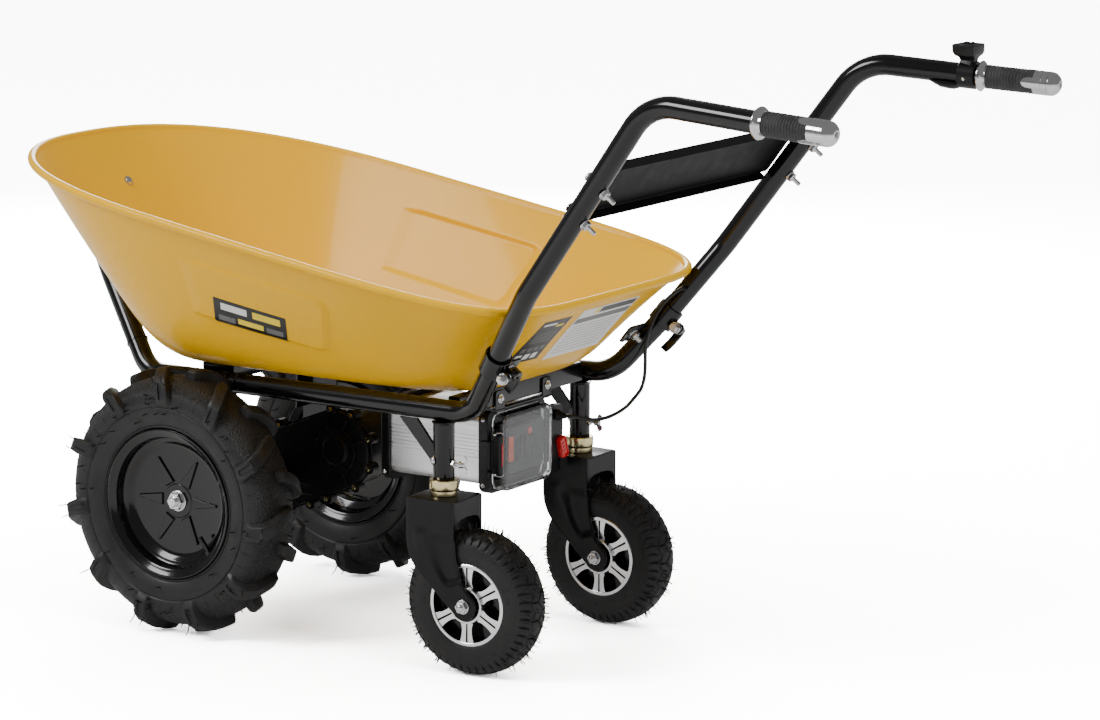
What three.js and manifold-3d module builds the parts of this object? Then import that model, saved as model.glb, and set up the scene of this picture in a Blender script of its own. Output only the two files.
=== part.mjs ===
// Power wheelbarrow: a pressed steel tub on a bent tube frame, two geared drive wheels in front
// and two swivelling casters behind. Millimetres, +Z up, +X towards the handles.
import * as THREE from "three";
import { mergeVertices, toCreasedNormals } from "three/addons/utils/BufferGeometryUtils.js";
import Module from "manifold-3d";

const wasm = await Module();
wasm.setup();

// ---- Driving dimensions -------------------------------------------------------------------
const GAP = 0.3; // between pieces that touch
const AXLE_X = -409; // drive axle, from the middle of the machine's length

const TUBE_R = 16; // frame and handle tube
const TUBE_SIDES = 12;
const RAIL_FRONT = [-128, -146, 379]; // corners of a rail's centre line
const RAIL_REAR = [511, -192, 394];
const RAIL_TOP = RAIL_REAR[2] + TUBE_R;

const TUB_FLOOR_Z = RAIL_TOP + GAP;
const TUB_SHEET = 2.5;
const TUB_BEAD_R = 6.5;
const RIM_Z = 660; // rim height above the axle
const RIM_SLOPE = -0.1616; // the rim falls towards the handles

const DRIVE_TYRE_R = 207;
const DRIVE_TRACK = 457.2;
const DRIVE_FLANGE_R = 115.5;
const AXLE_R = 10;
const LUGS = 11; // on each shoulder of a tyre

const STEM_X = 456.4;
const STEM_Y = 186.3;
const CASTER_TRAIL = 56.75;
const CASTER_TYRE_R = 109.6;
const CASTER_RIM_R = 62.4;
const CASTER_AXLE_R = 6;
const CROWN_TOP_Z = 264;
const FORK_PLATE = 4;
const LEFT_SWIVEL = 3.3; // degrees that each caster stands turned
const RIGHT_SWIVEL = 1.2;

const HANDLE_FOOT = [582.5, -236.8, 486.4];
const HANDLE_KINK = [660.8, -277.8, 595.9];
const HANDLE_CORNER = [877.9, -304.0, 889.0];
const GRIP_START = [1063.0, -325.6, 878.3];
const GRIP_END = [1189.2, -336.6, 872.3];
const GRIP_R = 18;
const FLANGE_R = 23;
const SPIGOT_R = 11; // the thinner end of the handle tube, inside the grip

const BOX_X0 = 282; // controller and battery box
const BOX_X1 = 446;
const BOX_HALF_W = 75;
const BOX_Z0 = 256;
const BOX_Z1 = 364;

// ---- Materials ----------------------------------------------------------------------------
const finish = (color, roughness, metalness) =>
  new THREE.MeshStandardMaterial({ color, roughness, metalness });
const YELLOW = finish(0xf2b01a, 0.25, 0.1);
const BLACK_PAINT = finish(0x121212, 0.3, 0.2);
const BLACK_PLASTIC = finish(0x1a1a1a, 0.5, 0);
const TYRE_RUBBER = finish(0x1b1b1c, 0.8, 0);
const GRIP_RUBBER = finish(0x202020, 0.9, 0);
const CHROME = finish(0xd8dadc, 0.12, 1);
const STEEL = finish(0xa9abad, 0.3, 1);
const ZINC = finish(0xb3a468, 0.3, 1);
const ALUMINIUM = finish(0xc8cacc, 0.35, 0.9);
const RED_PLASTIC = finish(0xc41a1a, 0.35, 0);
const CLEAR = new THREE.MeshStandardMaterial({
  color: 0xdfe6e8,
  roughness: 0.08,
  metalness: 0,
  transparent: true,
  opacity: 0.3,
});

// ---- Solids -------------------------------------------------------------------------------
// Shared vertices merged, slivers dropped, faces turned outwards.
function closed(geometry) {
  const source = geometry.index ? geometry.toNonIndexed() : geometry;
  const bare = new THREE.BufferGeometry();
  bare.setAttribute("position", source.getAttribute("position").clone());
  const merged = mergeVertices(bare, 1e-3);
  const faces = [];
  const [a, b, c] = [new THREE.Vector3(), new THREE.Vector3(), new THREE.Vector3()];
  const position = merged.getAttribute("position");
  let volume = 0;
  for (let i = 0; i < merged.index.count; i += 3) {
    const face = [0, 1, 2].map((k) => merged.index.getX(i + k));
    if (new Set(face).size < 3) continue;
    faces.push(face);
    a.fromBufferAttribute(position, face[0]);
    b.fromBufferAttribute(position, face[1]);
    c.fromBufferAttribute(position, face[2]);
    volume += a.dot(b.cross(c));
  }
  merged.setIndex(faces.flatMap((face) => (volume < 0 ? face.reverse() : face)));
  return merged;
}

function manifoldOf(geometry) {
  const mesh = closed(geometry);
  return new wasm.Manifold(
    new wasm.Mesh({
      numProp: 3,
      vertProperties: new Float32Array(mesh.getAttribute("position").array),
      triVerts: new Uint32Array(mesh.index.array),
    }),
  );
}

function geometryOf(manifold) {
  const mesh = manifold.getMesh();
  const geometry = new THREE.BufferGeometry();
  geometry.setAttribute("position", new THREE.BufferAttribute(mesh.vertProperties, 3));
  geometry.setIndex(new THREE.BufferAttribute(mesh.triVerts, 1));
  return geometry;
}

const join = (...pieces) => geometryOf(pieces.map(manifoldOf).reduce((a, b) => a.add(b)));
const cut = (body, ...tools) =>
  geometryOf(tools.map(manifoldOf).reduce((a, b) => a.subtract(b), manifoldOf(body)));

const CREASE = Math.PI / 5;
function place(parent, name, geometry, material) {
  const mesh = new THREE.Mesh(toCreasedNormals(closed(geometry), CREASE), material);
  mesh.name = name;
  parent.add(mesh);
  return mesh;
}

// ---- Simple shapes ------------------------------------------------------------------------
function block(x0, x1, y0, y1, z0, z1) {
  const geometry = new THREE.BoxGeometry(x1 - x0, y1 - y0, z1 - z0);
  return geometry.translate((x0 + x1) / 2, (y0 + y1) / 2, (z0 + z1) / 2);
}

// A plate whose outline is drawn in X and Z, filling Y from y0 to y1.
function plateXZ(shape, y0, y1, curveSegments = 6) {
  const geometry = new THREE.ExtrudeGeometry(shape, {
    depth: y1 - y0,
    bevelEnabled: false,
    curveSegments,
  });
  return geometry.rotateX(Math.PI / 2).translate(0, y1, 0);
}

// A prism whose outline is drawn in Y and Z, filling X from x0 to x1.
function prismYZ(shape, x0, x1, curveSegments = 4) {
  const geometry = new THREE.ExtrudeGeometry(shape, {
    depth: x1 - x0,
    bevelEnabled: false,
    curveSegments,
  });
  return geometry.rotateX(Math.PI / 2).rotateZ(Math.PI / 2).translate(x0, 0, 0);
}

function outline(points) {
  return new THREE.Shape(points.map(([x, y]) => new THREE.Vector2(x, y)));
}

function roundedRect(x0, x1, y0, y1, r) {
  const shape = new THREE.Shape();
  shape.absarc(x1 - r, y0 + r, r, -Math.PI / 2, 0);
  shape.absarc(x1 - r, y1 - r, r, 0, Math.PI / 2);
  shape.absarc(x0 + r, y1 - r, r, Math.PI / 2, Math.PI);
  shape.absarc(x0 + r, y0 + r, r, Math.PI, 1.5 * Math.PI);
  return shape;
}

// A round bar along a line between two points.
function bar(from, to, radius, sides = 16) {
  const start = new THREE.Vector3(...from);
  const along = new THREE.Vector3(...to).sub(start);
  const geometry = new THREE.CylinderGeometry(radius, radius, along.length(), sides);
  const turn = new THREE.Quaternion().setFromUnitVectors(
    new THREE.Vector3(0, 1, 0),
    along.clone().normalize(),
  );
  return geometry.applyQuaternion(turn).translate(...start.addScaledVector(along, 0.5).toArray());
}

// A turned piece about the line from a point in a direction; profile rows are [distance, radius].
function turned(from, to, profile, segments = 20) {
  const start = new THREE.Vector3(...from);
  const along = new THREE.Vector3(...to).sub(start).normalize();
  const rows = profile.map(([distance, radius]) => new THREE.Vector2(radius, distance));
  const turn = new THREE.Quaternion().setFromUnitVectors(new THREE.Vector3(0, 1, 0), along);
  return new THREE.LatheGeometry(rows, segments).applyQuaternion(turn).translate(...from);
}

// A turned ring about Y; rows are [radius, y] round a closed profile.
function wheelRing(profile, segments) {
  const rows = [...profile, profile[0]].map(([radius, y]) => new THREE.Vector2(radius, y));
  return new THREE.LatheGeometry(rows, segments);
}

// The centre line of a bent tube: straight runs joined by round bends.
class TubeLine extends THREE.Curve {
  constructor(corners, bendRadius, bendSteps = 5) {
    super();
    const at = corners.map((corner) => new THREE.Vector3(...corner));
    const way = at.slice(1).map((point, i) => point.clone().sub(at[i]).normalize());
    this.points = [at[0]];
    this.ways = [way[0]];
    for (let i = 1; i < at.length - 1; i++) this.bend(at[i], way[i - 1], way[i], bendRadius, bendSteps);
    this.points.push(at[at.length - 1]);
    this.ways.push(way[way.length - 1]);
  }

  bend(corner, before, after, radius, steps) {
    const angle = before.angleTo(after);
    const start = corner.clone().addScaledVector(before, -radius * Math.tan(angle / 2));
    const inward = after.clone().addScaledVector(before, -before.dot(after)).normalize();
    for (let i = 0; i <= steps; i++) {
      const turn = (angle * i) / steps;
      const point = start.clone().addScaledVector(before, radius * Math.sin(turn));
      this.points.push(point.addScaledVector(inward, radius * (1 - Math.cos(turn))));
      const way = before.clone().multiplyScalar(Math.cos(turn));
      this.ways.push(way.addScaledVector(inward, Math.sin(turn)));
    }
  }

  get steps() {
    return this.points.length - 1;
  }

  getPoint(t, target = new THREE.Vector3()) {
    return target.copy(this.points[Math.round(t * this.steps)]);
  }

  getPointAt(t, target) {
    return this.getPoint(t, target);
  }

  getTangentAt(t, target = new THREE.Vector3()) {
    return target.copy(this.ways[Math.round(t * this.steps)]);
  }
}

function discShape(radius, sides) {
  return outline(
    Array.from({ length: sides }, (_, i) => {
      const angle = (2 * Math.PI * i) / sides;
      return [radius * Math.cos(angle), radius * Math.sin(angle)];
    }),
  );
}

function tube(line, radius, sides = TUBE_SIDES) {
  return new THREE.ExtrudeGeometry(discShape(radius, sides), {
    steps: line.steps,
    extrudePath: line,
    bevelEnabled: false,
  });
}

const lerp = THREE.MathUtils.lerp;

// ---- Tub ----------------------------------------------------------------------------------
// Level 0 is the floor's corner line and level 1 the rim; below 0 lies the floor's flat.
const TUB_FLAT_LEVEL = -0.35;
const TUB_WALL_LEVEL = 0.2; // the corner's curve ends and the straight wall starts
const TUB_FRONT_X = [-155, -360];
const TUB_REAR_X = [512, 633];
const TUB_HALF_W = [202, 322];
const TUB_WIDEST_X = [40, 60];
const TUB_FRONT_POWER = [2.64, 2.5];
const TUB_REAR_POWER = [5, 5.4];
const TUB_AROUND = 48;

function tubHeight(level) {
  const slope = 1 / ((TUB_WALL_LEVEL - TUB_FLAT_LEVEL) / 2 + 1 - TUB_WALL_LEVEL);
  const bent = Math.max(level - TUB_FLAT_LEVEL, 0);
  if (level < TUB_WALL_LEVEL) return (slope * bent * bent) / (2 * (TUB_WALL_LEVEL - TUB_FLAT_LEVEL));
  return slope * ((TUB_WALL_LEVEL - TUB_FLAT_LEVEL) / 2 + level - TUB_WALL_LEVEL);
}

// A point of the tub's inner face at a level and an angle round it, angle 0 at the handles.
function tubPoint(level, angle) {
  const [cos, sin] = [Math.cos(angle), Math.sin(angle)];
  const end = cos < 0 ? TUB_FRONT_X : TUB_REAR_X;
  const power = lerp(...(cos < 0 ? TUB_FRONT_POWER : TUB_REAR_POWER), level);
  const middle = lerp(...TUB_WIDEST_X, level);
  const x = middle + (lerp(...end, level) - middle) * Math.abs(cos) ** (2 / power);
  const y = lerp(...TUB_HALF_W, level) * Math.sign(sin) * Math.abs(sin) ** (2 / power);
  const floor = TUB_FLOOR_Z + TUB_SHEET;
  const z = floor + tubHeight(level) * (RIM_Z + RIM_SLOPE * x - floor);
  return new THREE.Vector3(x, y, z);
}

// Outward normal of the tub's face.
function tubNormal(level, angle) {
  const step = 0.004;
  const up = tubPoint(level + step, angle).sub(tubPoint(level - step, angle));
  const round = tubPoint(level, angle + step).sub(tubPoint(level, angle - step));
  const normal = round.cross(up).normalize();
  return level <= TUB_FLAT_LEVEL ? new THREE.Vector3(0, 0, -1) : normal;
}

function tub() {
  const levels = [TUB_FLAT_LEVEL, -0.17, 0, TUB_WALL_LEVEL, 0.45, 0.72, 1];
  const beadTurns = [0.75, 0.45, 0.15, -0.15, -0.45].map((turn) => turn * Math.PI);
  const columns = Array.from({ length: TUB_AROUND + 1 }, (_, i) => {
    const angle = (2 * Math.PI * (i % TUB_AROUND)) / TUB_AROUND;
    const inner = levels.map((level) => tubPoint(level, angle));
    const outer = levels.map((level, k) =>
      inner[k].clone().addScaledVector(tubNormal(level, angle), TUB_SHEET),
    );
    const out = tubNormal(1, angle).setZ(0).normalize();
    const beadCentre = inner[inner.length - 1].clone().addScaledVector(out, TUB_BEAD_R);
    const bead = beadTurns.map((turn) => {
      const point = beadCentre.clone().addScaledVector(out, TUB_BEAD_R * Math.cos(turn));
      return point.setZ(point.z + TUB_BEAD_R * Math.sin(turn));
    });
    outer.pop();
    return [...inner, ...bead, ...outer.reverse()];
  });
  const [floorX, floorZ] = [lerp(...TUB_WIDEST_X, 0) + 150, TUB_FLOOR_Z];
  const tops = columns.map(() => new THREE.Vector3(floorX, 0, floorZ + TUB_SHEET));
  const bottoms = columns.map(() => new THREE.Vector3(floorX, 0, floorZ));
  return skin(columns.map((column, i) => [tops[i], ...column, bottoms[i]]));
}

// A skin over a grid of points, column by column.
function skin(columns) {
  const corners = [];
  const quad = (a, b, c, d) => corners.push(a, b, c, a, c, d);
  for (let i = 1; i < columns.length; i++)
    for (let k = 1; k < columns[i].length; k++)
      quad(columns[i - 1][k - 1], columns[i][k - 1], columns[i][k], columns[i - 1][k]);
  return new THREE.BufferGeometry().setFromPoints(corners);
}

// ---- Frame --------------------------------------------------------------------------------
const BEND_R = 64;
const HOOP_R = 32; // bends at the top of the front hoop
const HOOP_LEG = [-241, -96, 515];
const HOOP_TOP = [-347, -46, 655];

function pointTowards(from, towards, distance) {
  const start = new THREE.Vector3(...from);
  const way = new THREE.Vector3(...towards).sub(start).normalize();
  return start.addScaledVector(way, distance).toArray();
}

const HOOP_FOOT = pointTowards(RAIL_FRONT, HOOP_LEG, 62);

function rail() {
  const top = pointTowards(HANDLE_FOOT, RAIL_REAR, 4);
  return tube(new TubeLine([HOOP_FOOT, RAIL_FRONT, RAIL_REAR, top], BEND_R, 4), TUBE_R);
}

function frontHoop() {
  const side = [pointTowards(HOOP_FOOT, HOOP_LEG, GAP), HOOP_LEG, HOOP_TOP];
  const mirrored = side.map(([x, y, z]) => [x, -y, z]).reverse();
  return tube(new TubeLine([...side, ...mirrored], HOOP_R, 4), TUBE_R);
}

const AXLE_BAR_Z = [382, RAIL_TOP];
const REAR_BAR_X = [452, 472];
const REAR_BAR_Z = [380, RAIL_TOP];

// A bar across the frame, between the rails.
function crossBar([x0, x1], half, [z0, z1]) {
  return block(x0, x1, -half, half, z0, z1);
}

const STEM_FOOT_Z = 289.3;
const SPINDLE_R = 12;
function stemTube() {
  const [top, inner] = [375.5, TUBE_R - 2.5];
  return turned([STEM_X, -STEM_Y, 0], [STEM_X, -STEM_Y, 1], [
    [STEM_FOOT_Z, inner],
    [STEM_FOOT_Z, TUBE_R],
    [top, TUBE_R],
    [top, inner],
    [STEM_FOOT_Z, inner],
  ]);
}

function stemGusset() {
  const stemFace = STEM_X - TUBE_R - 0.5;
  const shape = outline([
    [stemFace - 62, 374.4],
    [stemFace, 308],
    [stemFace, 338],
    [stemFace - 30, 374.4],
  ]);
  return plateXZ(shape, -STEM_Y - 2.5, -STEM_Y + 2.5);
}

function tubBracket() {
  const strap = block(-2, 2, -199, -150, -16, 16);
  return strap.rotateY(0.68).translate(559.5, 0, 464);
}

const GUARD = 27; // radius of the transaxle's side tubes
function axleBracket() {
  const shape = outline([
    [-30, AXLE_BAR_Z[0] - GAP],
    [-38, 207],
    [-27, 172],
    [27, 172],
    [38, 207],
    [30, AXLE_BAR_Z[0] - GAP],
  ]);
  const hole = bar([0, -160, 207], [0, -100, 207], GUARD + 1, 20);
  return cut(plateXZ(shape, -132, -126), hole);
}

// ---- Drive --------------------------------------------------------------------------------
const MOTOR = [165, 273]; // X and Z of the motor's axis
const CASE_Y = [-55, 15];

function gearbox() {
  const z = DRIVE_TYRE_R;
  const tilt = Math.atan2(MOTOR[1] - z, MOTOR[0]);
  const shape = new THREE.Shape();
  shape.absarc(0, z, 62, tilt + Math.PI / 2, tilt - Math.PI / 2);
  shape.absarc(MOTOR[0], MOTOR[1], 60, tilt - Math.PI / 2, tilt + Math.PI / 2);
  const body = plateXZ(shape, ...CASE_Y, 12);
  const tubeEnds = [-168, 168];
  const tubes = bar([0, tubeEnds[0], z], [0, tubeEnds[1], z], GUARD, 24);
  const bore = bar([0, -200, z], [0, 200, z], AXLE_R + 0.5, 20);
  return cut(join(body, tubes), bore);
}

function driveMotor() {
  const [x, z] = MOTOR;
  const y = CASE_Y[1] + GAP;
  return turned([x, y, z], [x, y + 1, z], [
    [0, 0],
    [0, 56],
    [96, 56],
    [100, 48],
    [126, 46],
    [130, 40],
    [130, 0],
  ]);
}

// The half shaft with its outer nut; it stops short of the middle of the gearbox.
function driveShaft(wheelY) {
  const z = DRIVE_TYRE_R;
  const shaft = bar([0, -20, z], [0, wheelY - 28, z], AXLE_R, 20);
  const nut = bar([0, wheelY - 12.5, z], [0, wheelY - 23, z], 15, 6);
  return join(shaft, nut);
}

function driveRim() {
  const r = DRIVE_FLANGE_R;
  const bore = AXLE_R + 0.5;
  return wheelRing(
    [
      [r, -36.2],
      [103, -33.5],
      [100, -18],
      [91, -10],
      [91, 10],
      [100, 18],
      [103, 33.5],
      [r, 36.2],
      [r, 38.6],
      [100, 35],
      [88, 11.5],
      [88, -5],
      [26, -8],
      [22, 26],
      [bore, 26],
      [bore, -12],
      [88, -9],
      [97, -19],
      [100, -35],
      [r, -38.6],
    ],
    26,
  );
}

function driveCarcass() {
  const half = [
    [102.6, 26],
    [104.4, 32],
    [118, 35],
    [138, 46],
    [166, 46],
    [188, 34],
  ];
  const inside = [
    [176, 24],
    [150, 37],
    [112, 26],
  ];
  const mirror = (rows) => rows.map(([r, y]) => [r, -y]).reverse();
  return wheelRing([...half, [194, 0], ...mirror(half), ...mirror(inside), ...inside], 2 * LUGS);
}

// One tread lug: a bar across the crown that sweeps back as it runs down the shoulder.
function lug() {
  const rows = [
    [-5, 186],
    [-5, DRIVE_TYRE_R],
    [26, DRIVE_TYRE_R],
    [52, 186],
    [50, 160],
    [36, 168],
  ];
  const shape = outline(rows.map(([y, r]) => [y, r]));
  const geometry = new THREE.ExtrudeGeometry(shape, { depth: 18, bevelEnabled: false });
  geometry.translate(0, 0, -9);
  const sweep = new THREE.Matrix4().set(0.6, 0, 1, 0, 1, 0, 0, 0, 0, 1, 0, 0, 0, 0, 0, 1);
  return geometry.applyMatrix4(sweep);
}

function driveTyre() {
  const pieces = [driveCarcass()];
  for (let i = 0; i < LUGS; i++) {
    const angle = (2 * Math.PI * i) / LUGS;
    pieces.push(lug().rotateX(Math.PI).rotateY(angle));
    pieces.push(lug().scale(1, -1, 1).rotateX(Math.PI).rotateY(angle + Math.PI / LUGS));
  }
  return join(...pieces);
}

// ---- Casters ------------------------------------------------------------------------------
// Each is drawn about its own stem, with its wheel trailing along +X.
const CROWN_HALF = 41;
const WHEEL_HALF = 32.5;

function casterFork() {
  const side = new THREE.Shape();
  side.moveTo(-CROWN_HALF, CROWN_TOP_Z);
  side.lineTo(-CROWN_HALF, 200);
  side.quadraticCurveTo(-38, 172, -10, 144);
  side.lineTo(39, 99);
  side.absarc(CASTER_TRAIL, CASTER_TYRE_R, 21, Math.PI * 1.25, Math.PI * 0.2);
  side.quadraticCurveTo(44, 170, CROWN_HALF, 196);
  side.lineTo(CROWN_HALF, CROWN_TOP_Z);
  const [outer, inner] = [CROWN_HALF, CROWN_HALF - FORK_PLATE];
  const legs = [plateXZ(side, -outer, -inner), plateXZ(side, inner, outer)];
  const top = block(-outer, outer, -outer, outer, CROWN_TOP_Z - FORK_PLATE, CROWN_TOP_Z);
  const back = block(inner, outer, -outer, outer, 224, CROWN_TOP_Z);
  const eye = (y) => [CASTER_TRAIL, y, CASTER_TYRE_R];
  const bore = bar(eye(-50), eye(50), CASTER_AXLE_R + 0.4);
  return cut(join(...legs, top, back), bore);
}

function casterSpindle() {
  return bar([0, 0, CROWN_TOP_Z + GAP], [0, 0, 352], SPINDLE_R, 20);
}

function swivelRing() {
  return turned([0, 0, 0], [0, 0, 1], [
    [CROWN_TOP_Z + GAP, SPINDLE_R + 0.8],
    [CROWN_TOP_Z + GAP, 20],
    [STEM_FOOT_Z - 16, 20],
    [STEM_FOOT_Z - 14, 21.5],
    [STEM_FOOT_Z - GAP, 21.5],
    [STEM_FOOT_Z - GAP, SPINDLE_R + 0.8],
    [CROWN_TOP_Z + GAP, SPINDLE_R + 0.8],
  ]);
}

// Axle bolt with a head and a nut outside the fork.
function casterAxle() {
  const at = (y) => [CASTER_TRAIL, y, CASTER_TYRE_R];
  const shank = bar(at(-54), at(52), CASTER_AXLE_R, 16);
  const ends = [-1, 1].map((side) => bar(at(side * (CROWN_HALF + GAP)), at(side * 50), 9.5, 6));
  return join(shank, ...ends);
}

function casterRim() {
  const half = [
    [CASTER_RIM_R, 29],
    [54, 24],
    [50, 14],
  ];
  const bore = CASTER_AXLE_R + 0.5;
  const inner = [
    [53, 27],
    [47, 15],
    [47, 6],
    [24, 8],
    [22, 34],
    [bore, 34],
  ];
  const mirror = (rows) => rows.map(([r, y]) => [r, -y]).reverse();
  const barrel = [...half, ...mirror(half)];
  const back = [
    [CASTER_RIM_R, -31],
    ...inner.map(([r, y]) => [r, -y]),
    ...mirror(inner.map(([r, y]) => [r, -y])),
    [CASTER_RIM_R, 31],
  ];
  return wheelRing([...barrel, ...back], 24);
}

function casterTyre() {
  const half = [
    [53.5, 20],
    [63, 28.2],
    [80, WHEEL_HALF],
    [98, 28],
    [107, 15],
  ];
  const inside = [
    [98, 12],
    [80, 24],
    [60, 18],
  ];
  const mirror = (rows) => rows.map(([r, y]) => [r, -y]).reverse();
  return wheelRing([...half, [CASTER_TYRE_R, 0], ...mirror(half), ...mirror(inside), ...inside], 24);
}

// ---- Handles ------------------------------------------------------------------------------
function handle() {
  const line = new TubeLine([HANDLE_FOOT, HANDLE_KINK, HANDLE_CORNER, GRIP_START], 85, 7);
  const spigot = bar(GRIP_START, pointTowards(GRIP_END, GRIP_START, 24), SPIGOT_R, 16);
  return join(tube(line, TUBE_R), spigot);
}

const GRIP_LENGTH = new THREE.Vector3(...GRIP_END).distanceTo(new THREE.Vector3(...GRIP_START));
const RUBBER = [15, 88]; // along the grip from its start

// Chrome sleeve with a flared flange and a closed end.
function gripCore() {
  const end = GRIP_LENGTH;
  const bore = SPIGOT_R + GAP;
  const blind = end - 22;
  return turned(GRIP_START, GRIP_END, [
    [1, bore],
    [1, FLANGE_R],
    [4, FLANGE_R],
    [7, GRIP_R + 1],
    [RUBBER[0] - GAP, GRIP_R - 1],
    [RUBBER[0] - GAP, SPIGOT_R + 2.5],
    [RUBBER[1] + GAP, SPIGOT_R + 2.5],
    [RUBBER[1] + GAP, GRIP_R],
    [end - 14, GRIP_R],
    [end - 6, GRIP_R - 3],
    [end, 8],
    [end, 0],
    [blind, 0],
    [blind, bore],
    [1, bore],
  ]);
}

function gripRubber() {
  const inner = SPIGOT_R + 2.5 + GAP;
  return turned(GRIP_START, GRIP_END, [
    [RUBBER[0], inner],
    [RUBBER[0], GRIP_R],
    [RUBBER[1], GRIP_R],
    [RUBBER[1], inner],
    [RUBBER[0], inner],
  ]);
}

// Folded panel between the handles, in front of both tubes.
function crossbarPanel() {
  const middle = new THREE.Vector3(769.5, 0, 742.5);
  const lean = Math.atan2(HANDLE_CORNER[0] - HANDLE_KINK[0], HANDLE_CORNER[2] - HANDLE_KINK[2]);
  const [half, lip, sheet] = [48, 14, 2.5];
  const front = -TUBE_R - GAP - 0.6;
  const web = block(front - sheet, front, -286, 286, -half, half);
  const lips = [-half, half - sheet].map((z) => block(front - 1, front + lip, -262, 262, z, z + sheet));
  return join(web, ...lips).rotateY(lean).translate(...middle.toArray());
}

// The clamp's own frame: origin at the handle's foot, Z up the handle, X to the rear.
const handleWay = new THREE.Vector3(...HANDLE_KINK).sub(new THREE.Vector3(...HANDLE_FOOT)).normalize();
const clampRear = new THREE.Vector3(0, 1, 0).cross(handleWay).normalize();
const clampSide = handleWay.clone().cross(clampRear);
const clampFrame = new THREE.Matrix4()
  .makeBasis(clampRear, clampSide, handleWay)
  .setPosition(...HANDLE_FOOT);
const CLAMP_BOLT = [27, 0, -6];
const CAM_PIVOT_Y = 17;
const CAM_EYE_R = 4.6;

// Split collar over the joint of rail and handle, with two ears and their bolt. The lever
// stands on the side given by hand.
function clampCollar(hand) {
  const [inner, outer] = [TUBE_R + 2, TUBE_R + 4.5];
  const ring = turned([0, 0, 0], [0, 0, 1], [
    [-20, inner],
    [-20, outer],
    [14, outer],
    [14, inner],
    [-20, inner],
  ], 16);
  const [x, , z] = CLAMP_BOLT;
  const ear = (y) => block(outer - 1.5, x + 8, y - 2.5, y + 2.5, z - 9, z + 9);
  const bolt = bar([x, -18 * hand, z], [x, (CAM_PIVOT_Y - 5) * hand, z], 4, 8);
  const nut = bar([x, -18 * hand, z], [x, -11 * hand, z], 7.5, 6);
  return join(ring, ear(-6), ear(6), bolt, nut).applyMatrix4(clampFrame);
}

// Cam lever: it lies down along the tube when shut, and turns on a round eye.
function clampLever(hand) {
  const [x, , z] = CLAMP_BOLT;
  const arm = new THREE.Shape();
  arm.moveTo(CAM_PIVOT_Y, z + CAM_EYE_R);
  arm.quadraticCurveTo(CAM_PIVOT_Y + 12, z + 6, CAM_PIVOT_Y + 12, z - 18);
  arm.quadraticCurveTo(CAM_PIVOT_Y + 12, z - 34, CAM_PIVOT_Y + 2, z - 44);
  arm.lineTo(CAM_PIVOT_Y - 2, z - 41);
  arm.quadraticCurveTo(CAM_PIVOT_Y + 5, z - 32, CAM_PIVOT_Y + 4, z - 16);
  arm.absarc(CAM_PIVOT_Y, z, CAM_EYE_R, -0.4 * Math.PI, -1.5 * Math.PI, true);
  return prismYZ(arm, x - 7, x + 7).scale(1, hand, 1).applyMatrix4(clampFrame);
}

// ---- Throttle on the right handle (drawn for the mirrored side) ----------------------------
const THROTTLE_BACK = pointTowards(GRIP_START, HANDLE_CORNER, 4);

function throttleBody() {
  const ring = turned(THROTTLE_BACK, HANDLE_CORNER, [
    [0, TUBE_R + 0.4],
    [0, 21],
    [26, 21],
    [26, TUBE_R + 0.4],
    [0, TUBE_R + 0.4],
  ]);
  const neck = block(1036, 1058, -330, -314, 897, 908);
  const head = block(1027, 1062, -343, -302, 906, 925);
  const pocket = block(1036, 1056, -329, -315, 919, 926);
  return cut(join(ring, neck, head), pocket);
}

function throttleLever() {
  const [inner, outer, spread] = [TUBE_R + 0.5, TUBE_R + 8, 0.75];
  const section = new THREE.Shape();
  section.absarc(0, 0, outer, -Math.PI / 2 - spread, -Math.PI / 2 + spread);
  section.absarc(0, 0, inner, -Math.PI / 2 + spread, -Math.PI / 2 - spread, true);
  const geometry = new THREE.ExtrudeGeometry(section, { depth: 44, bevelEnabled: false, curveSegments: 8 });
  const turn = new THREE.Matrix4().lookAt(
    new THREE.Vector3(...GRIP_START).negate(),
    new THREE.Vector3(...HANDLE_CORNER).negate(),
    new THREE.Vector3(0, 0, 1),
  );
  return geometry.applyMatrix4(turn).translate(...pointTowards(THROTTLE_BACK, HANDLE_CORNER, 26 + GAP));
}

function directionSwitch() {
  return block(1038, 1054, -328, -316, 921.5, 928.5);
}

// ---- Controller and battery box ------------------------------------------------------------
const BOX_CORNER_R = 12;
const FRAME_HALF = 80;
const FRAME_Z = [244, 372];
const COVER_X = [462.5, 484];
const COVER_HALF = 67;
const COVER_Z = [248, 366];
const COVER_WALL = 2.5;

const boxSection = (half, z0, z1) => roundedRect(-half, half, z0, z1, BOX_CORNER_R);

function controllerHousing() {
  const wall = 4;
  const inside = boxSection(BOX_HALF_W - wall, BOX_Z0 + wall, BOX_Z1 - wall);
  const shell = prismYZ(boxSection(BOX_HALF_W, BOX_Z0, BOX_Z1), BOX_X0 + GAP, BOX_X1 - GAP);
  return cut(shell, prismYZ(inside, BOX_X0 - 1, BOX_X1 + 1));
}

function boxFrontCap() {
  return prismYZ(boxSection(FRAME_HALF, ...FRAME_Z), BOX_X0 - 16, BOX_X0);
}

// Rear frame with the battery's opening and, on the right, the ear that carries the isolator.
function boxRearFrame() {
  const body = prismYZ(boxSection(FRAME_HALF, ...FRAME_Z), BOX_X1, COVER_X[0] - GAP);
  const ear = block(BOX_X1, COVER_X[0] - GAP, FRAME_HALF - 4, 130, 266, 350);
  const opening = block(BOX_X1 - 1, COVER_X[0] + 1, -62, 62, 264, 352);
  return cut(join(body, ear), opening);
}

function motorController() {
  return block(290, 322, -64, 64, 266, 352);
}

const BATTERY_X = [326, 474];
const BUTTON = { y: 12, z: 330, radius: 6 };

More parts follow.
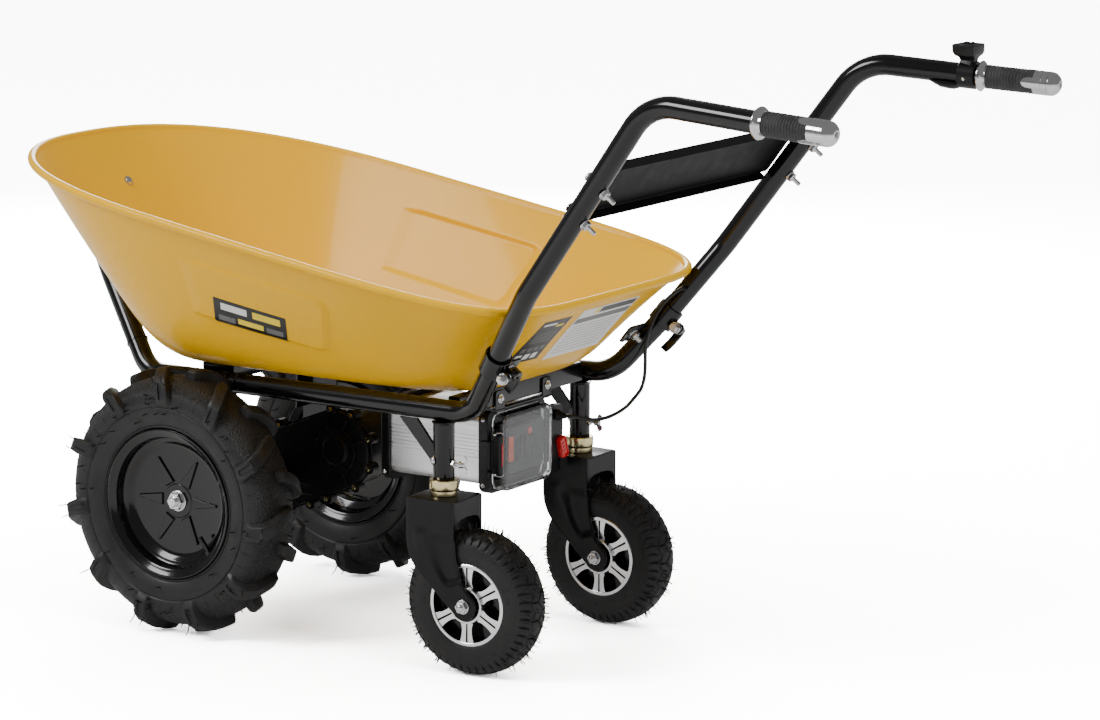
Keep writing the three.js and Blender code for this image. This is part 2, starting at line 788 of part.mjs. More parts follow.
function batteryPack() {
  const body = block(...BATTERY_X, -56, 56, 268, 346);
  const { y, z, radius } = BUTTON;
  return cut(body, bar([BATTERY_X[1] - 4, y, z], [BATTERY_X[1] + 1, y, z], radius + 0.6));
}

function batteryButton() {
  const { y, z, radius } = BUTTON;
  return bar([BATTERY_X[1] - 1, y, z], [BATTERY_X[1] + 3.5, y, z], radius);
}

function batteryCover() {
  const tray = prismYZ(boxSection(COVER_HALF, ...COVER_Z), ...COVER_X);
  const inside = boxSection(COVER_HALF - COVER_WALL, COVER_Z[0] + COVER_WALL, COVER_Z[1] - COVER_WALL);
  const hollow = prismYZ(inside, COVER_X[0] - 1, COVER_X[1] - COVER_WALL);
  return cut(tray, hollow);
}

// Latch on the cover's left edge; its tongue lies along the side of the rear frame.
function coverLatch() {
  const y = -COVER_HALF - GAP;
  const grip = block(466, 482, y - 9, y, 276, 336);
  const tongue = block(450, 468, -FRAME_HALF - 5, -FRAME_HALF - 1, 284, 328);
  const bridge = block(466, 470, -FRAME_HALF - 5, y - 5, 284, 328);
  return join(grip, tongue, bridge);
}

const KEY_AT = [COVER_X[0], 122, 284];

function isolatorKey() {
  const shape = roundedRect(-9, 9, -17, 17, 5);
  return prismYZ(shape, 0, 9).rotateX(0.3).translate(...KEY_AT);
}

// Two ears bolted to the rear crossmember, folded forward over the box.
function boxHanger() {
  const x = REAR_BAR_X[1] + GAP;
  const ears = [-64, 64].map((y) => block(x, x + 3, y - 9, y + 9, 376, 403));
  const plate = block(448, x + 3, -73, 73, 373, 376.5);
  return join(...ears, plate);
}

const GLAND = [COVER_X[0], 108, 336];
function cableGland() {
  return turned(GLAND, [GLAND[0] + 1, GLAND[1], GLAND[2]], [
    [0, 0],
    [0, 9],
    [7, 9],
    [8, 7],
    [18, 5],
    [18, 0],
  ]);
}

// The cable runs from inside the right handle down to the gland.
const CABLE_R = 3;
const CABLE_ROUTE = [
  [616, 229, 531],
  [604, 226, 524],
  [592, 220, 512],
  [583, 210, 496],
  [577, 201, 476],
  [573, 195, 456],
  [571, 193, 438],
  [570, 194, 420],
  [568, 197, 404],
  [565, 199, 388],
  [560, 198, 372],
  [551, 192, 357],
  [541, 183, 343],
  [527, 169, 332],
  [514, 152, 327],
  [504, 134, 329],
  [496, 119, 333.5],
  [490, 110.5, 336],
  [482, 108, 336],
];

function controlCable() {
  const route = new THREE.CatmullRomCurve3(CABLE_ROUTE.map((at) => new THREE.Vector3(...at)));
  return new THREE.ExtrudeGeometry(discShape(CABLE_R, 8), {
    steps: 22,
    extrudePath: route,
    bevelEnabled: false,
  });
}

// ---- Assembly -----------------------------------------------------------------------------
const machine = new THREE.Group();
machine.position.x = AXLE_X;
place(machine, "tub", tub(), YELLOW);
place(machine, "front_hoop", frontHoop(), BLACK_PAINT);
place(machine, "rear_crossmember", crossBar(REAR_BAR_X, 168, REAR_BAR_Z), BLACK_PAINT);
place(machine, "axle_crossmember", crossBar([-30, 30], 136, AXLE_BAR_Z), BLACK_PAINT);
place(machine, "gearbox_housing", gearbox(), BLACK_PAINT);
place(machine, "drive_motor", driveMotor(), BLACK_PAINT);
place(machine, "crossbar_panel", crossbarPanel(), BLACK_PAINT);
place(machine, "controller_housing", controllerHousing(), ALUMINIUM);
place(machine, "box_front_cap", boxFrontCap(), BLACK_PLASTIC);
place(machine, "box_rear_frame", boxRearFrame(), BLACK_PLASTIC);
place(machine, "box_hanger", boxHanger(), BLACK_PAINT);
place(machine, "motor_controller", motorController(), BLACK_PLASTIC);
place(machine, "battery_pack", batteryPack(), BLACK_PLASTIC);
place(machine, "battery_button", batteryButton(), RED_PLASTIC);
place(machine, "battery_cover", batteryCover(), CLEAR);
place(machine, "cover_latch", coverLatch(), BLACK_PLASTIC);
place(machine, "isolator_key", isolatorKey(), RED_PLASTIC);
place(machine, "cable_gland", cableGland(), BLACK_PLASTIC);
place(machine, "control_cable", controlCable(), BLACK_PLASTIC);

function addSide(name, mirror, swivel) {
  const side = new THREE.Group();
  side.scale.y = mirror;
  machine.add(side);
  const add = (parent, piece, geometry, material) => place(parent, name + "_" + piece, geometry, material);
  add(side, "rail", rail(), BLACK_PAINT);
  add(side, "stem_tube", stemTube(), BLACK_PAINT);
  add(side, "stem_gusset", stemGusset(), BLACK_PAINT);
  add(side, "tub_bracket", tubBracket(), BLACK_PAINT);
  add(side, "axle_bracket", axleBracket(), BLACK_PAINT);
  add(side, "handle", handle(), BLACK_PAINT);
  add(side, "grip_core", gripCore(), CHROME);
  add(side, "grip_rubber", gripRubber(), GRIP_RUBBER);
  add(side, "clamp_collar", clampCollar(mirror), BLACK_PAINT);
  add(side, "clamp_lever", clampLever(mirror), BLACK_PAINT);

  const wheelY = -DRIVE_TRACK / 2;
  add(side, "drive_shaft", driveShaft(wheelY), STEEL);
  const wheel = new THREE.Group();
  wheel.position.set(0, wheelY, DRIVE_TYRE_R);
  side.add(wheel);
  add(wheel, "drive_rim", driveRim(), BLACK_PAINT);
  add(wheel, "drive_tyre", driveTyre(), TYRE_RUBBER);

  const caster = new THREE.Group();
  caster.position.set(STEM_X, -STEM_Y, 0);
  caster.rotation.z = THREE.MathUtils.degToRad(swivel);
  side.add(caster);
  add(caster, "caster_fork", casterFork(), BLACK_PAINT);
  add(caster, "caster_spindle", casterSpindle(), STEEL);
  add(caster, "swivel_ring", swivelRing(), ZINC);
  add(caster, "caster_axle", casterAxle(), STEEL);
  const roller = new THREE.Group();
  roller.position.set(CASTER_TRAIL, 0, CASTER_TYRE_R);
  caster.add(roller);
  add(roller, "caster_rim", casterRim(), BLACK_PAINT);
  add(roller, "caster_tyre", casterTyre(), TYRE_RUBBER);
}

addSide("left", 1, LEFT_SWIVEL);
addSide("right", -1, RIGHT_SWIVEL);

const controls = new THREE.Group();
controls.scale.y = -1;
machine.add(controls);
place(controls, "throttle_body", throttleBody(), BLACK_PLASTIC);
place(controls, "throttle_lever", throttleLever(), BLACK_PLASTIC);
place(controls, "direction_switch", directionSwitch(), BLACK_PLASTIC);

export default machine;
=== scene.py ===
import math
import random

import bmesh
import bpy
import numpy as np
from mathutils import Matrix, Vector


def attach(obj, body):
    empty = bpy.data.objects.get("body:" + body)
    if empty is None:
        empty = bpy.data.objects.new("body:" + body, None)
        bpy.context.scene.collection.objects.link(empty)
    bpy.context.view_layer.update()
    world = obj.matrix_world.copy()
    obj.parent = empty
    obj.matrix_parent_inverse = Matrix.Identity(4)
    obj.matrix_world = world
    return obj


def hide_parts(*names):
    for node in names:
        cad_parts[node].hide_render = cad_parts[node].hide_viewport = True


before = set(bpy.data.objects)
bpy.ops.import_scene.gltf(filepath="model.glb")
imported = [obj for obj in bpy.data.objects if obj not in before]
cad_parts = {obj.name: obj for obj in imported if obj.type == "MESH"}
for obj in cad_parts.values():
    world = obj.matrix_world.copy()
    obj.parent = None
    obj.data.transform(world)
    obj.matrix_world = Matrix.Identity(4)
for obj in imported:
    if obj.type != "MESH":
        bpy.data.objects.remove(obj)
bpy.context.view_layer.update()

# ---- Driving dimensions, in millimetres from the drive axle's middle on the ground ---------
AXLE_X = -409.0  # the drive axle's place along the frame
TUBE_R = 16.0
RAIL_FRONT = (-128, -146, 379)
RAIL_REAR = (511, -192, 394)
HOOP_LEG = (-241, -96, 515)
HOOP_TOP = (-347, -46, 655)
HANDLE_FOOT = (582.5, -236.8, 486.4)
HANDLE_KINK = (660.8, -277.8, 595.9)
HANDLE_CORNER = (877.9, -304.0, 889.0)
GRIP_START = (1063.0, -325.6, 878.3)
GRIP_END = (1189.2, -336.6, 872.3)
WHEEL_Y = -228.6
WHEEL_Z = 207.0
STEM = (456.4, -186.3)
TRAIL = 56.75
CASTER_Z = 109.6
SWIVEL = {"left": 3.3, "right": 1.2}  # degrees that each caster stands turned
SIDES = {"left": 1, "right": -1}

LEAST_CORNER = 1.6  # the smallest corner radius of a swollen rectangle
WELD = 2e-6  # metres within which two vertices are one
BEVEL_FROM = 32  # degrees from which an edge is bevelled

rng = random.Random(7)


# ---- Mesh tools ----------------------------------------------------------------------------
class Solid:
    """Points in millimetres and faces, gathered from several shapes."""

    def __init__(self, *shapes):
        self.points = []
        self.faces = []
        for shape in shapes:
            self.add(shape)

    def add(self, shape, matrix=None):
        points, faces = shape
        points = np.asarray(points, float).reshape(-1, 3)
        if matrix is not None:
            m = np.array(matrix)
            points = points @ m[:3, :3].T + m[:3, 3]
        first = len(self.points)
        self.points.extend(map(tuple, points))
        self.faces.extend(tuple(first + i for i in face) for face in faces)


def unit(v):
    v = np.asarray(v, float)
    return v / np.linalg.norm(v)


def towards(start, end, distance):
    return np.asarray(start, float) + unit(np.subtract(end, start)) * distance


def axes_for(direction):
    """Two unit vectors across a direction."""
    d = unit(direction)
    side = unit(np.cross(d, (0, 1, 0) if abs(d[1]) < 0.9 else (1, 0, 0)))
    return side, np.cross(d, side)


def loft(rows, around=True, loop=False):
    """A skin over rows of points; around closes each row, loop joins the last row to the first.

    Without loop, the first and last rows are filled in."""
    rows = np.asarray(rows, float)
    count, size = rows.shape[:2]
    faces = []
    for r in range(count if loop else count - 1):
        a, b = r * size, (r + 1) % count * size
        for n in range(size if around else size - 1):
            m = (n + 1) % size
            faces.append((a + n, a + m, b + m, b + n))
    if not loop:
        faces.append(tuple(range(size))[::-1])
        faces.append(tuple((count - 1) * size + n for n in range(size)))
    return rows.reshape(-1, 3), faces


def revolve(profile, origin, direction, segments=48, closed=False, phase=0.0):
    """A profile of (along, radius) pairs turned about a line."""
    d = unit(direction)
    side, up = axes_for(d)
    rows = []
    for k in range(segments):
        angle = phase + 2 * math.pi * k / segments
        out = side * math.cos(angle) + up * math.sin(angle)
        rows.append([np.asarray(origin, float) + d * a + out * r for a, r in profile])
    return loft(rows, around=closed, loop=True)


def bent(corners, radius, steps=14):
    """Points along straight runs joined by round bends."""
    corners = [np.asarray(c, float) for c in corners]
    points = [corners[0]]
    for before, corner, after in zip(corners, corners[1:], corners[2:]):
        a, b = unit(corner - before), unit(after - corner)
        angle = math.acos(max(-1.0, min(1.0, float(a @ b))))
        if angle < 1e-4:
            continue
        inward = unit(b - a * (a @ b))
        start = corner - a * radius * math.tan(angle / 2)
        for k in range(steps + 1):
            t = angle * k / steps
            points.append(start + a * radius * math.sin(t) + inward * radius * (1 - math.cos(t)))
    points.append(corners[-1])
    return points


def sweep(points, radius, sides=32):
    """A round tube along points; radius may be one number or one for each point."""
    points = [np.asarray(p, float) for p in points]
    radii = radius if hasattr(radius, "__len__") else [radius] * len(points)
    ways = [unit(b - a) for a, b in zip(points, points[1:])]
    ways = [ways[0]] + [unit(a + b) for a, b in zip(ways, ways[1:])] + [ways[-1]]
    side, _ = axes_for(ways[0])
    rows = []
    for point, way, r in zip(points, ways, radii):
        side = unit(side - way * (side @ way))
        up = np.cross(way, side)
        turn = [2 * math.pi * k / sides for k in range(sides)]
        rows.append([point + side * r * math.cos(t) + up * r * math.sin(t) for t in turn])
    return loft(rows)


def prism(outline, to_point, low, high):
    """An outline of (u, v) pairs pushed from low to high; to_point(u, v, w) places a corner."""
    return loft([[to_point(u, v, w) for u, v in outline] for w in (low, high)])


def along_y(u, v, w):
    return (u, w, v)


def along_x(u, v, w):
    return (w, u, v)


def along_z(u, v, w):
    return (u, v, w)


def swollen(u, v, r, levels, steps):
    """A skin along X over round-cornered rectangles; each level is an x and how far it grows."""
    rows = []
    for x, grow in levels:
        wide, high = (u[0] - grow, u[1] + grow), (v[0] - grow, v[1] + grow)
        rows.append(
            [(x, *spot) for spot in rounded(wide, high, max(LEAST_CORNER, r + grow), steps)],
        )
    return loft(rows)


def rounded(u, v, r, steps=6):
    """A rectangle with round corners, as an outline."""
    outline = []
    corners = ((u[1], v[0], -90), (u[1], v[1], 0), (u[0], v[1], 90), (u[0], v[0], 180))
    for cu, cv, start in corners:
        mu = cu - r if cu == u[1] else cu + r
        mv = cv - r if cv == v[1] else cv + r
        for k in range(steps + 1):
            a = math.radians(start + 90 * k / steps)
            outline.append((mu + r * math.cos(a), mv + r * math.sin(a)))
    return outline


def arc(cu, cv, r, start, end, steps=16):
    """Points of a round arc between two angles in degrees."""
    turns = [math.radians(start + (end - start) * k / steps) for k in range(steps + 1)]
    return [(cu + r * math.cos(t), cv + r * math.sin(t)) for t in turns]


def hex_head(origin, direction, across, height):
    """A hexagon with chamfered corners."""
    r = across / math.sqrt(3)
    profile = [(0, 0), (0, r), (height * 0.82, r), (height, r * 0.86), (height, 0)]
    return revolve(profile, origin, direction, 6, phase=math.pi / 6)


def dome_head(origin, direction, r, height):
    """A domed screw head."""
    turns = [k * math.pi / 12 for k in range(7)]
    profile = [(0, 0), (0, r)] + [(height * math.sin(t), r * math.cos(t)) for t in turns]
    return revolve(profile, origin, direction, 28)


def washer(origin, direction, r, thick):
    profile = [(0, 0), (0, r), (thick * 0.7, r), (thick, r * 0.95), (thick, 0)]
    return revolve(profile, origin, direction, 32)


def screw_thread(origin, direction, r, length, pitch=1.5):
    """A bolt's threaded end, with a round groove for each turn."""
    count = max(2, int(length / pitch))
    profile = [(0, 0)]
    for k in range(count):
        profile += [(k * pitch, r), (k * pitch + pitch / 2, r * 0.88)]
    profile += [(length, r * 0.8), (length, 0)]
    return revolve(profile, origin, direction, 24)


def piece(
    name, solid, material, body, replaces=(), mirror=1, bevel=0.0, sharp=35, origin=None,
):
    """Makes a Blender object from a solid in millimetres; mirror -1 turns it to the right side.

    origin is where the object's own coordinates start, for looks that follow them."""
    points = np.asarray(solid.points, float) * (1, mirror, 1)
    points[:, 0] += AXLE_X
    points /= 1000.0
    centre = Vector((0, 0, 0))
    if origin is not None:
        x, y, z = origin
        centre = Vector(((x + AXLE_X) / 1000, y * mirror / 1000, z / 1000))
        points = points - np.array(centre)
    mesh = bpy.data.meshes.new(name)
    mesh.from_pydata(points.tolist(), [], solid.faces)
    work = bmesh.new()
    work.from_mesh(mesh)
    bmesh.ops.remove_doubles(work, verts=work.verts, dist=WELD)
    bmesh.ops.recalc_face_normals(work, faces=work.faces)
    work.to_mesh(mesh)
    work.free()
    for polygon in mesh.polygons:
        polygon.use_smooth = True
    mesh.set_sharp_from_angle(angle=math.radians(sharp))
    obj = bpy.data.objects.new(name, mesh)
    obj.location = centre
    bpy.context.scene.collection.objects.link(obj)
    mesh.materials.append(material)
    if bevel:
        edge = obj.modifiers.new("edges", "BEVEL")
        edge.width = bevel / 1000
        edge.segments = 2
        edge.limit_method = "ANGLE"
        edge.angle_limit = math.radians(BEVEL_FROM)
        edge.harden_normals = True
    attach(obj, body)
    if replaces:
        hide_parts(*replaces)
    return obj


# ---- Camera, floor and lights --------------------------------------------------------------
CAMERA_AT, CAMERA_AIM = (3.3202, -4.9547, 1.5750), (0.1909, -0.1211, 0.4723)
CAMERA_LENS, CAMERA_ROLL = 131.17, 0.27  # millimetres and degrees
AMBIENT, BACKDROP = 0.25, 14.0  # the room's light on the object, and the white seen behind it
FLOOR_WHITE, FLOOR_GLOW = 0.75, 10.0  # the floor as it lights the object, and as it is seen
FLOOR_HALF, FLOOR_DROP = 30, 0.0005  # half the floor's side, and how far it lies below zero
SKY_POWER, SKY_ANGLE = 2.4, 1.4


def aimed(place, target):
    """A matrix at place that looks at target."""
    place, target = Vector(place), Vector(target)
    turn = (target - place).to_track_quat("-Z", "Y").to_matrix().to_4x4()
    return Matrix.Translation(place) @ turn


def make_camera():
    data = bpy.data.cameras.new("camera")
    data.sensor_width = 36
    data.lens = CAMERA_LENS
    camera = bpy.data.objects.new("camera", data)
    roll = Matrix.Rotation(math.radians(CAMERA_ROLL), 4, "Z")
    camera.matrix_world = aimed(CAMERA_AT, CAMERA_AIM) @ roll
    bpy.context.scene.collection.objects.link(camera)
    bpy.context.scene.camera = camera


def area_light(name, place, target, size, power, size_y=None, mirrored=True):
    """A rectangular lamp; with mirrored False, glossy surfaces don't show it."""
    data = bpy.data.lights.new(name, "AREA")
    data.shape = "RECTANGLE"
    data.size = size
    data.size_y = size_y or size
    data.energy = power
    light = bpy.data.objects.new(name, data)
    light.matrix_world = aimed(place, target)
    light.visible_glossy = mirrored
    bpy.context.scene.collection.objects.link(light)


def seen_directly(tree, usual, direct):
    """A matt surface with one grey for the light it gives, and another where it is seen."""
    path = tree.nodes.new("ShaderNodeLightPath")
    matts = []
    for grey in (usual, direct):
        matts.append(tree.nodes.new("ShaderNodeBsdfDiffuse"))
        matts[-1].inputs["Color"].default_value = (grey, grey, grey, 1)
    choice = tree.nodes.new("ShaderNodeMixShader")
    tree.links.new(path.outputs["Is Camera Ray"], choice.inputs["Fac"])
    for number, matt in enumerate(matts, 1):
        tree.links.new(matt.outputs[0], choice.inputs[number])
    return choice.outputs[0]


def make_studio():
    mesh = bpy.data.meshes.new("floor")
    corners = [(x * FLOOR_HALF, y * FLOOR_HALF, 0) for x, y in ((-1, -1), (1, -1), (1, 1), (-1, 1))]
    mesh.from_pydata(corners, [], [(0, 1, 2, 3)])
    floor = bpy.data.objects.new("floor", mesh)
    floor.location.z = -FLOOR_DROP
    bpy.context.scene.collection.objects.link(floor)
    material = bpy.data.materials.new("floor")
    material.use_nodes = True
    tree = material.node_tree
    matt = seen_directly(tree, FLOOR_WHITE, FLOOR_GLOW)
    tree.links.new(matt, tree.nodes["Material Output"].inputs["Surface"])
    mesh.materials.append(material)
    world = bpy.data.worlds.new("studio")
    bpy.context.scene.world = world
    world.use_nodes = True
    tree = world.node_tree
    path = tree.nodes.new("ShaderNodeLightPath")
    strength = tree.nodes.new("ShaderNodeMapRange")
    strength.inputs["To Min"].default_value = AMBIENT
    strength.inputs["To Max"].default_value = BACKDROP
    tree.links.new(path.outputs["Is Camera Ray"], strength.inputs["Value"])
    back = tree.nodes["Background"]
    back.inputs["Color"].default_value = (1, 1, 1, 1)
    tree.links.new(strength.outputs[0], back.inputs["Strength"])
    area_light("key", (-2.6, -3.4, 3.6), (0, 0, 0.4), size=1.8, power=170)
    area_light("rim", (-2.6, 3.2, 1.9), (0, 0, 0.5), size=1.6, power=90)
    area_light("side", (4.2, -1.0, 2.2), (0.2, 0, 0.5), 1.4, 60, size_y=2.4, mirrored=False)
    sky = bpy.data.lights.new("sky", "SUN")
    sky.energy, sky.angle = SKY_POWER, SKY_ANGLE
    lamp = bpy.data.objects.new("sky", sky)
    lamp.visible_glossy = False
    bpy.context.scene.collection.objects.link(lamp)


make_camera()
make_studio()


# ---- Materials -----------------------------------------------------------------------------
class Look:
    """Builds one node material step by step."""

    def __init__(self, name):
        self.material = bpy.data.materials.new(name)
        self.material.use_nodes = True
        self.tree = self.material.node_tree
        self.shader = self.tree.nodes["Principled BSDF"]
        self.coords = self.tree.nodes.new("ShaderNodeTexCoord")

    def node(self, kind, **inputs):
        """A shader node; an underscore in an input's name stands for a space."""
        node = self.tree.nodes.new("ShaderNode" + kind)
        for name, value in inputs.items():
            self.put(node.inputs[name.replace("_", " ")], value)
        return node

    def put(self, socket, value):
        if isinstance(value, bpy.types.NodeSocket):
            self.tree.links.new(value, socket)
        else:
            socket.default_value = value

    def set(self, **inputs):
        for name, value in inputs.items():
            self.put(self.shader.inputs[name.replace("_", " ")], value)

    def noise(self, scale, detail, stretch=(1, 1, 1)):
        where = self.node("Mapping", Vector=self.coords.outputs["Object"], Scale=stretch)
        return self.node(
            "TexNoise", Vector=where.outputs[0], Scale=scale, Detail=detail,
        ).outputs["Fac"]

    def between(self, fac, low, high, start=0.3, end=0.7):
        """From low to high as fac goes from start to end."""
        ramp = self.node("MapRange", Value=fac)
        for name, value in (
            ("From Min", start), ("From Max", end), ("To Min", low), ("To Max", high),
        ):
            ramp.inputs[name].default_value = value
        return ramp.outputs[0]

    def tint(self, fac, dark, light):
        mix = self.tree.nodes.new("ShaderNodeMix")
        mix.data_type = "RGBA"
        self.put(mix.inputs["Factor"], fac)
        self.put(mix.inputs[6], (*dark, 1))
        self.put(mix.inputs[7], (*light, 1))
        return mix.outputs[2]

    def math(self, operation, a, b=0.0):
        node = self.tree.nodes.new("ShaderNodeMath")
        node.operation = operation
        self.put(node.inputs[0], a)
        self.put(node.inputs[1], b)
        return node.outputs[0]

    def bump(self, height, distance, normal=None):
        node = self.node("Bump", Height=height, Distance=distance)
        if normal is not None:
            self.put(node.inputs["Normal"], normal)
        return node.outputs[0]


KNURL_DEPTH = 0.0016  # metres, like every bump's depth
KNURL_CELLS = 420.0
RUBBER_DARK, RUBBER_DUSTY = (0.003, 0.003, 0.0032), (0.0075, 0.0075, 0.0078)


def plain_look(
    name, color, rough, metal=0.0, coat=0.0, spread=0.12, grain=900, depth=0.00004, scale=14,
    shine=0.5,
):
    """Paint, plastic or metal with a fine grain, and colour and gloss that vary a little."""
    look = Look(name)
    wide = look.noise(scale, 4)
    dark = tuple(c * (1 - spread) for c in color)
    light = tuple(min(1, c * (1 + spread)) for c in color)
    fine = look.noise(grain, 2)
    look.set(
        Base_Color=look.tint(look.between(wide, 0, 1), dark, light),
        Roughness=look.between(look.noise(scale * 3, 5), rough * 0.94, rough * 1.08),
        Metallic=metal,
        Specular_IOR_Level=shine,
        Coat_Weight=coat,
        Coat_Roughness=0.06,
        Normal=look.bump(fine, depth),
    )
    return look.material


def tyre_look(name, knurl_from, knurl_to):
    """Rubber with mould dust; between two radii it carries a fine knurl."""
    look = Look(name)
    dust = look.noise(30, 6)
    fine = look.noise(700, 3)
    axes = look.node("SeparateXYZ", Vector=look.coords.outputs["Object"])
    squares = [look.math("MULTIPLY", axes.outputs[a], axes.outputs[a]) for a in "XZ"]
    radius = look.math("SQRT", look.math("ADD", *squares))
    cells = look.node("TexVoronoi", Vector=look.coords.outputs["Object"], Scale=KNURL_CELLS)
    band = look.between(radius, 0, 1, knurl_from, knurl_to)
    knurl = look.math("MULTIPLY", cells.outputs["Distance"], band)
    look.set(
        Base_Color=look.tint(look.between(dust, 0, 1), RUBBER_DARK, RUBBER_DUSTY),
        Roughness=look.between(dust, 0.42, 0.62),
        Specular_IOR_Level=0.45,
        Normal=look.bump(knurl, KNURL_DEPTH, look.bump(fine, 0.00006)),
    )
    return look.material


def brushed_look(name, color, rough, stretch):
    """Metal with fine lines along one axis."""
    look = Look(name)
    lines = look.noise(60, 8, stretch)
    look.set(
        Base_Color=look.tint(look.between(lines, 0, 1), tuple(c * 0.9 for c in color), color),
        Roughness=look.between(lines, rough * 0.8, rough * 1.25),
        Metallic=1.0,
        Normal=look.bump(lines, 0.00004),
    )
    return look.material


def clear_look():
    look = Look("clear_cover")
    haze = look.noise(40, 4)
    look.set(
        Base_Color=(0.93, 0.95, 0.95, 1),
        Roughness=look.between(haze, 0.02, 0.07),
        Transmission_Weight=1.0,
        IOR=1.46,
        Normal=look.bump(look.noise(25, 2), 0.00003),
    )
    return look.material


def grip_look():
    look = Look("grip_rubber")
    cells = look.node("TexVoronoi", Vector=look.coords.outputs["Object"], Scale=520.0)
    wear = look.noise(45, 4)
    look.set(
        Base_Color=look.tint(look.between(wear, 0, 1), (0.014, 0.014, 0.0145), (0.045, 0.045, 0.046)),
        Roughness=look.between(wear, 0.5, 0.75),
        Normal=look.bump(cells.outputs["Distance"], 0.0004),
    )
    return look.material


YELLOW = plain_look(
    "tub_yellow", (0.82, 0.44, 0.0), 0.26, coat=0.1, spread=0.02, grain=450, depth=0.000006,
    scale=5, shine=0.12,
)
BLACK = plain_look(
    "powder_black", (0.002, 0.002, 0.0022), 0.16, coat=0.3, shine=0.3, grain=1400, depth=0.000003,
)
SATIN = plain_look(
    "satin_black", (0.003, 0.003, 0.0033), 0.3, shine=0.25, grain=1100, depth=0.00001,
)
PANEL_BLACK = plain_look(
    "panel_black", (0.004, 0.004, 0.0042), 0.5, shine=0.12, grain=900, depth=0.00001,
)
RIM_BLACK = plain_look(
    "rim_black", (0.002, 0.002, 0.0022), 0.16, coat=0.3, shine=0.3, grain=700, depth=0.000003,
)
CAST_BLACK = plain_look(
    "cast_black", (0.003, 0.003, 0.003), 0.36, grain=500, depth=0.00008, shine=0.3,
)
PLASTIC = plain_look(
    "black_plastic", (0.005, 0.005, 0.0053), 0.34, grain=1300, depth=0.00003, shine=0.3,
)
CABLE = plain_look("cable_black", (0.004, 0.004, 0.004), 0.32, grain=900, depth=0.00001)
BATTERY = plain_look("battery_grey", (0.022, 0.022, 0.024), 0.45, grain=1200, depth=0.00004)
CHROME = plain_look(
    "chrome", (0.66, 0.66, 0.67), 0.1, metal=1.0, spread=0.05, grain=500, depth=0.000002,
)
POLISHED = plain_look(
    "polished_alloy", (0.93, 0.93, 0.94), 0.24, metal=1.0, spread=0.04, grain=900, depth=0.000005,
)
ZINC = plain_look(
    "bright_zinc", (0.70, 0.70, 0.71), 0.24, metal=1.0, spread=0.12, scale=90, depth=0.00001,
)
GOLD_ZINC = plain_look(
    "yellow_zinc", (0.72, 0.62, 0.34), 0.2, metal=1.0, spread=0.2, scale=70, depth=0.00001,
)
ALUMINIUM = brushed_look("brushed_aluminium", (0.90, 0.91, 0.92), 0.34, (0.02, 1, 6))
RED = plain_look("red_plastic", (0.55, 0.004, 0.004), 0.2, coat=0.4, spread=0.05, depth=0.00001)
ORANGE = plain_look("orange_plastic", (0.85, 0.10, 0.02), 0.35, spread=0.05, depth=0.00001)
WHITE_LABEL = plain_look("white_label", (0.72, 0.72, 0.70), 0.4, spread=0.03, depth=0.00001)
BLACK_LABEL = plain_look("black_label", (0.006, 0.006, 0.006), 0.35, depth=0.00001)
GREY_LABEL = plain_look("grey_label", (0.12, 0.12, 0.12), 0.4, depth=0.00001)
YELLOW_LABEL = plain_look("yellow_label", (0.85, 0.62, 0.01), 0.35, spread=0.03, depth=0.00001)
GRIP_RUBBER = grip_look()
CLEAR = clear_look()
DRIVE_RUBBER = tyre_look("drive_rubber", 0.166, 0.178)
CASTER_RUBBER = tyre_look("caster_rubber", 0.3, 0.31)  # its knurl starts past the casters


# ---- Cable ---------------------------------------------------------------------------------
CABLE_R = 3.0
GLAND_AT = (462.5, 108, 336.0)
GROMMET_AT = (617.5, 229.6, 531.8)
CABLE_ROUTE = [
    (616, 229, 531), (604, 226, 524), (592, 220, 512), (583, 210, 496), (577, 201, 476),
    (573, 195, 456), (571, 193, 438), (570, 194, 420), (568, 197, 404), (565, 199, 388),
    (560, 198, 372), (551, 192, 357), (541, 183, 343), (527, 169, 332), (514, 152, 327),
    (504, 134, 329), (496, 119, 333.5), (490, 110.5, 336), (482, 108, 336),
]


def smooth_path(points, steps):
    """Catmull-Rom points through a listed route."""
    p = [np.asarray(q, float) for q in points]
    p = [2 * p[0] - p[1]] + p + [2 * p[-1] - p[-2]]
    found = []
    for a, b, c, d in zip(p, p[1:], p[2:], p[3:]):
        for k in range(steps):
            t = k / steps
            square, cube = 2 * a - 5 * b + 4 * c - d, 3 * b - a - 3 * c + d
            found.append(0.5 * (2 * b + (c - a) * t + square * t * t + cube * t**3))
    found.append(p[-2])
    return found


def make_cable():
    path = smooth_path(CABLE_ROUTE, 6)
    cable = piece("cable", Solid(sweep(path, CABLE_R, 16)), CABLE, "frame", ["control_cable"])
    nut = [(0, 0), (0, 9), (6, 9), (6.5, 8), (8, 7.5), (8, 0)]
    ribs = [(9 + k, 6.6 - k * 0.22 - (k % 2) * 0.7) for k in range(9)]
    gland = Solid(revolve(nut, GLAND_AT, (1, 0, 0), 6))
    gland.add(revolve([(8, 0), (8, 7), *ribs, (18, 4.4), (18, 0)], GLAND_AT, (1, 0, 0), 32))
    piece("gland", gland, PLASTIC, "frame", ["cable_gland"], bevel=0.4)
    grommet = [(-1.5, 0), (-1.5, 4.4), (0, 5.2), (1.2, 4.4), (1.2, 0)]
    grommet = revolve(grommet, GROMMET_AT, (1, 0.25, 0.5), 24)
    piece("cable_grommet", Solid(grommet), PLASTIC, "frame")


make_cable()


# ---- Tub -----------------------------------------------------------------------------------
TUB_FLOOR_Z = 410.3
TUB_SHEET = 2.5
TUB_BEAD_R = 6.5
RIM_Z = 660.0
RIM_SLOPE = -0.1616
TUB_FLAT, TUB_WALL = -0.35, 0.2  # levels where the bend to the wall starts and ends; the rim is 1
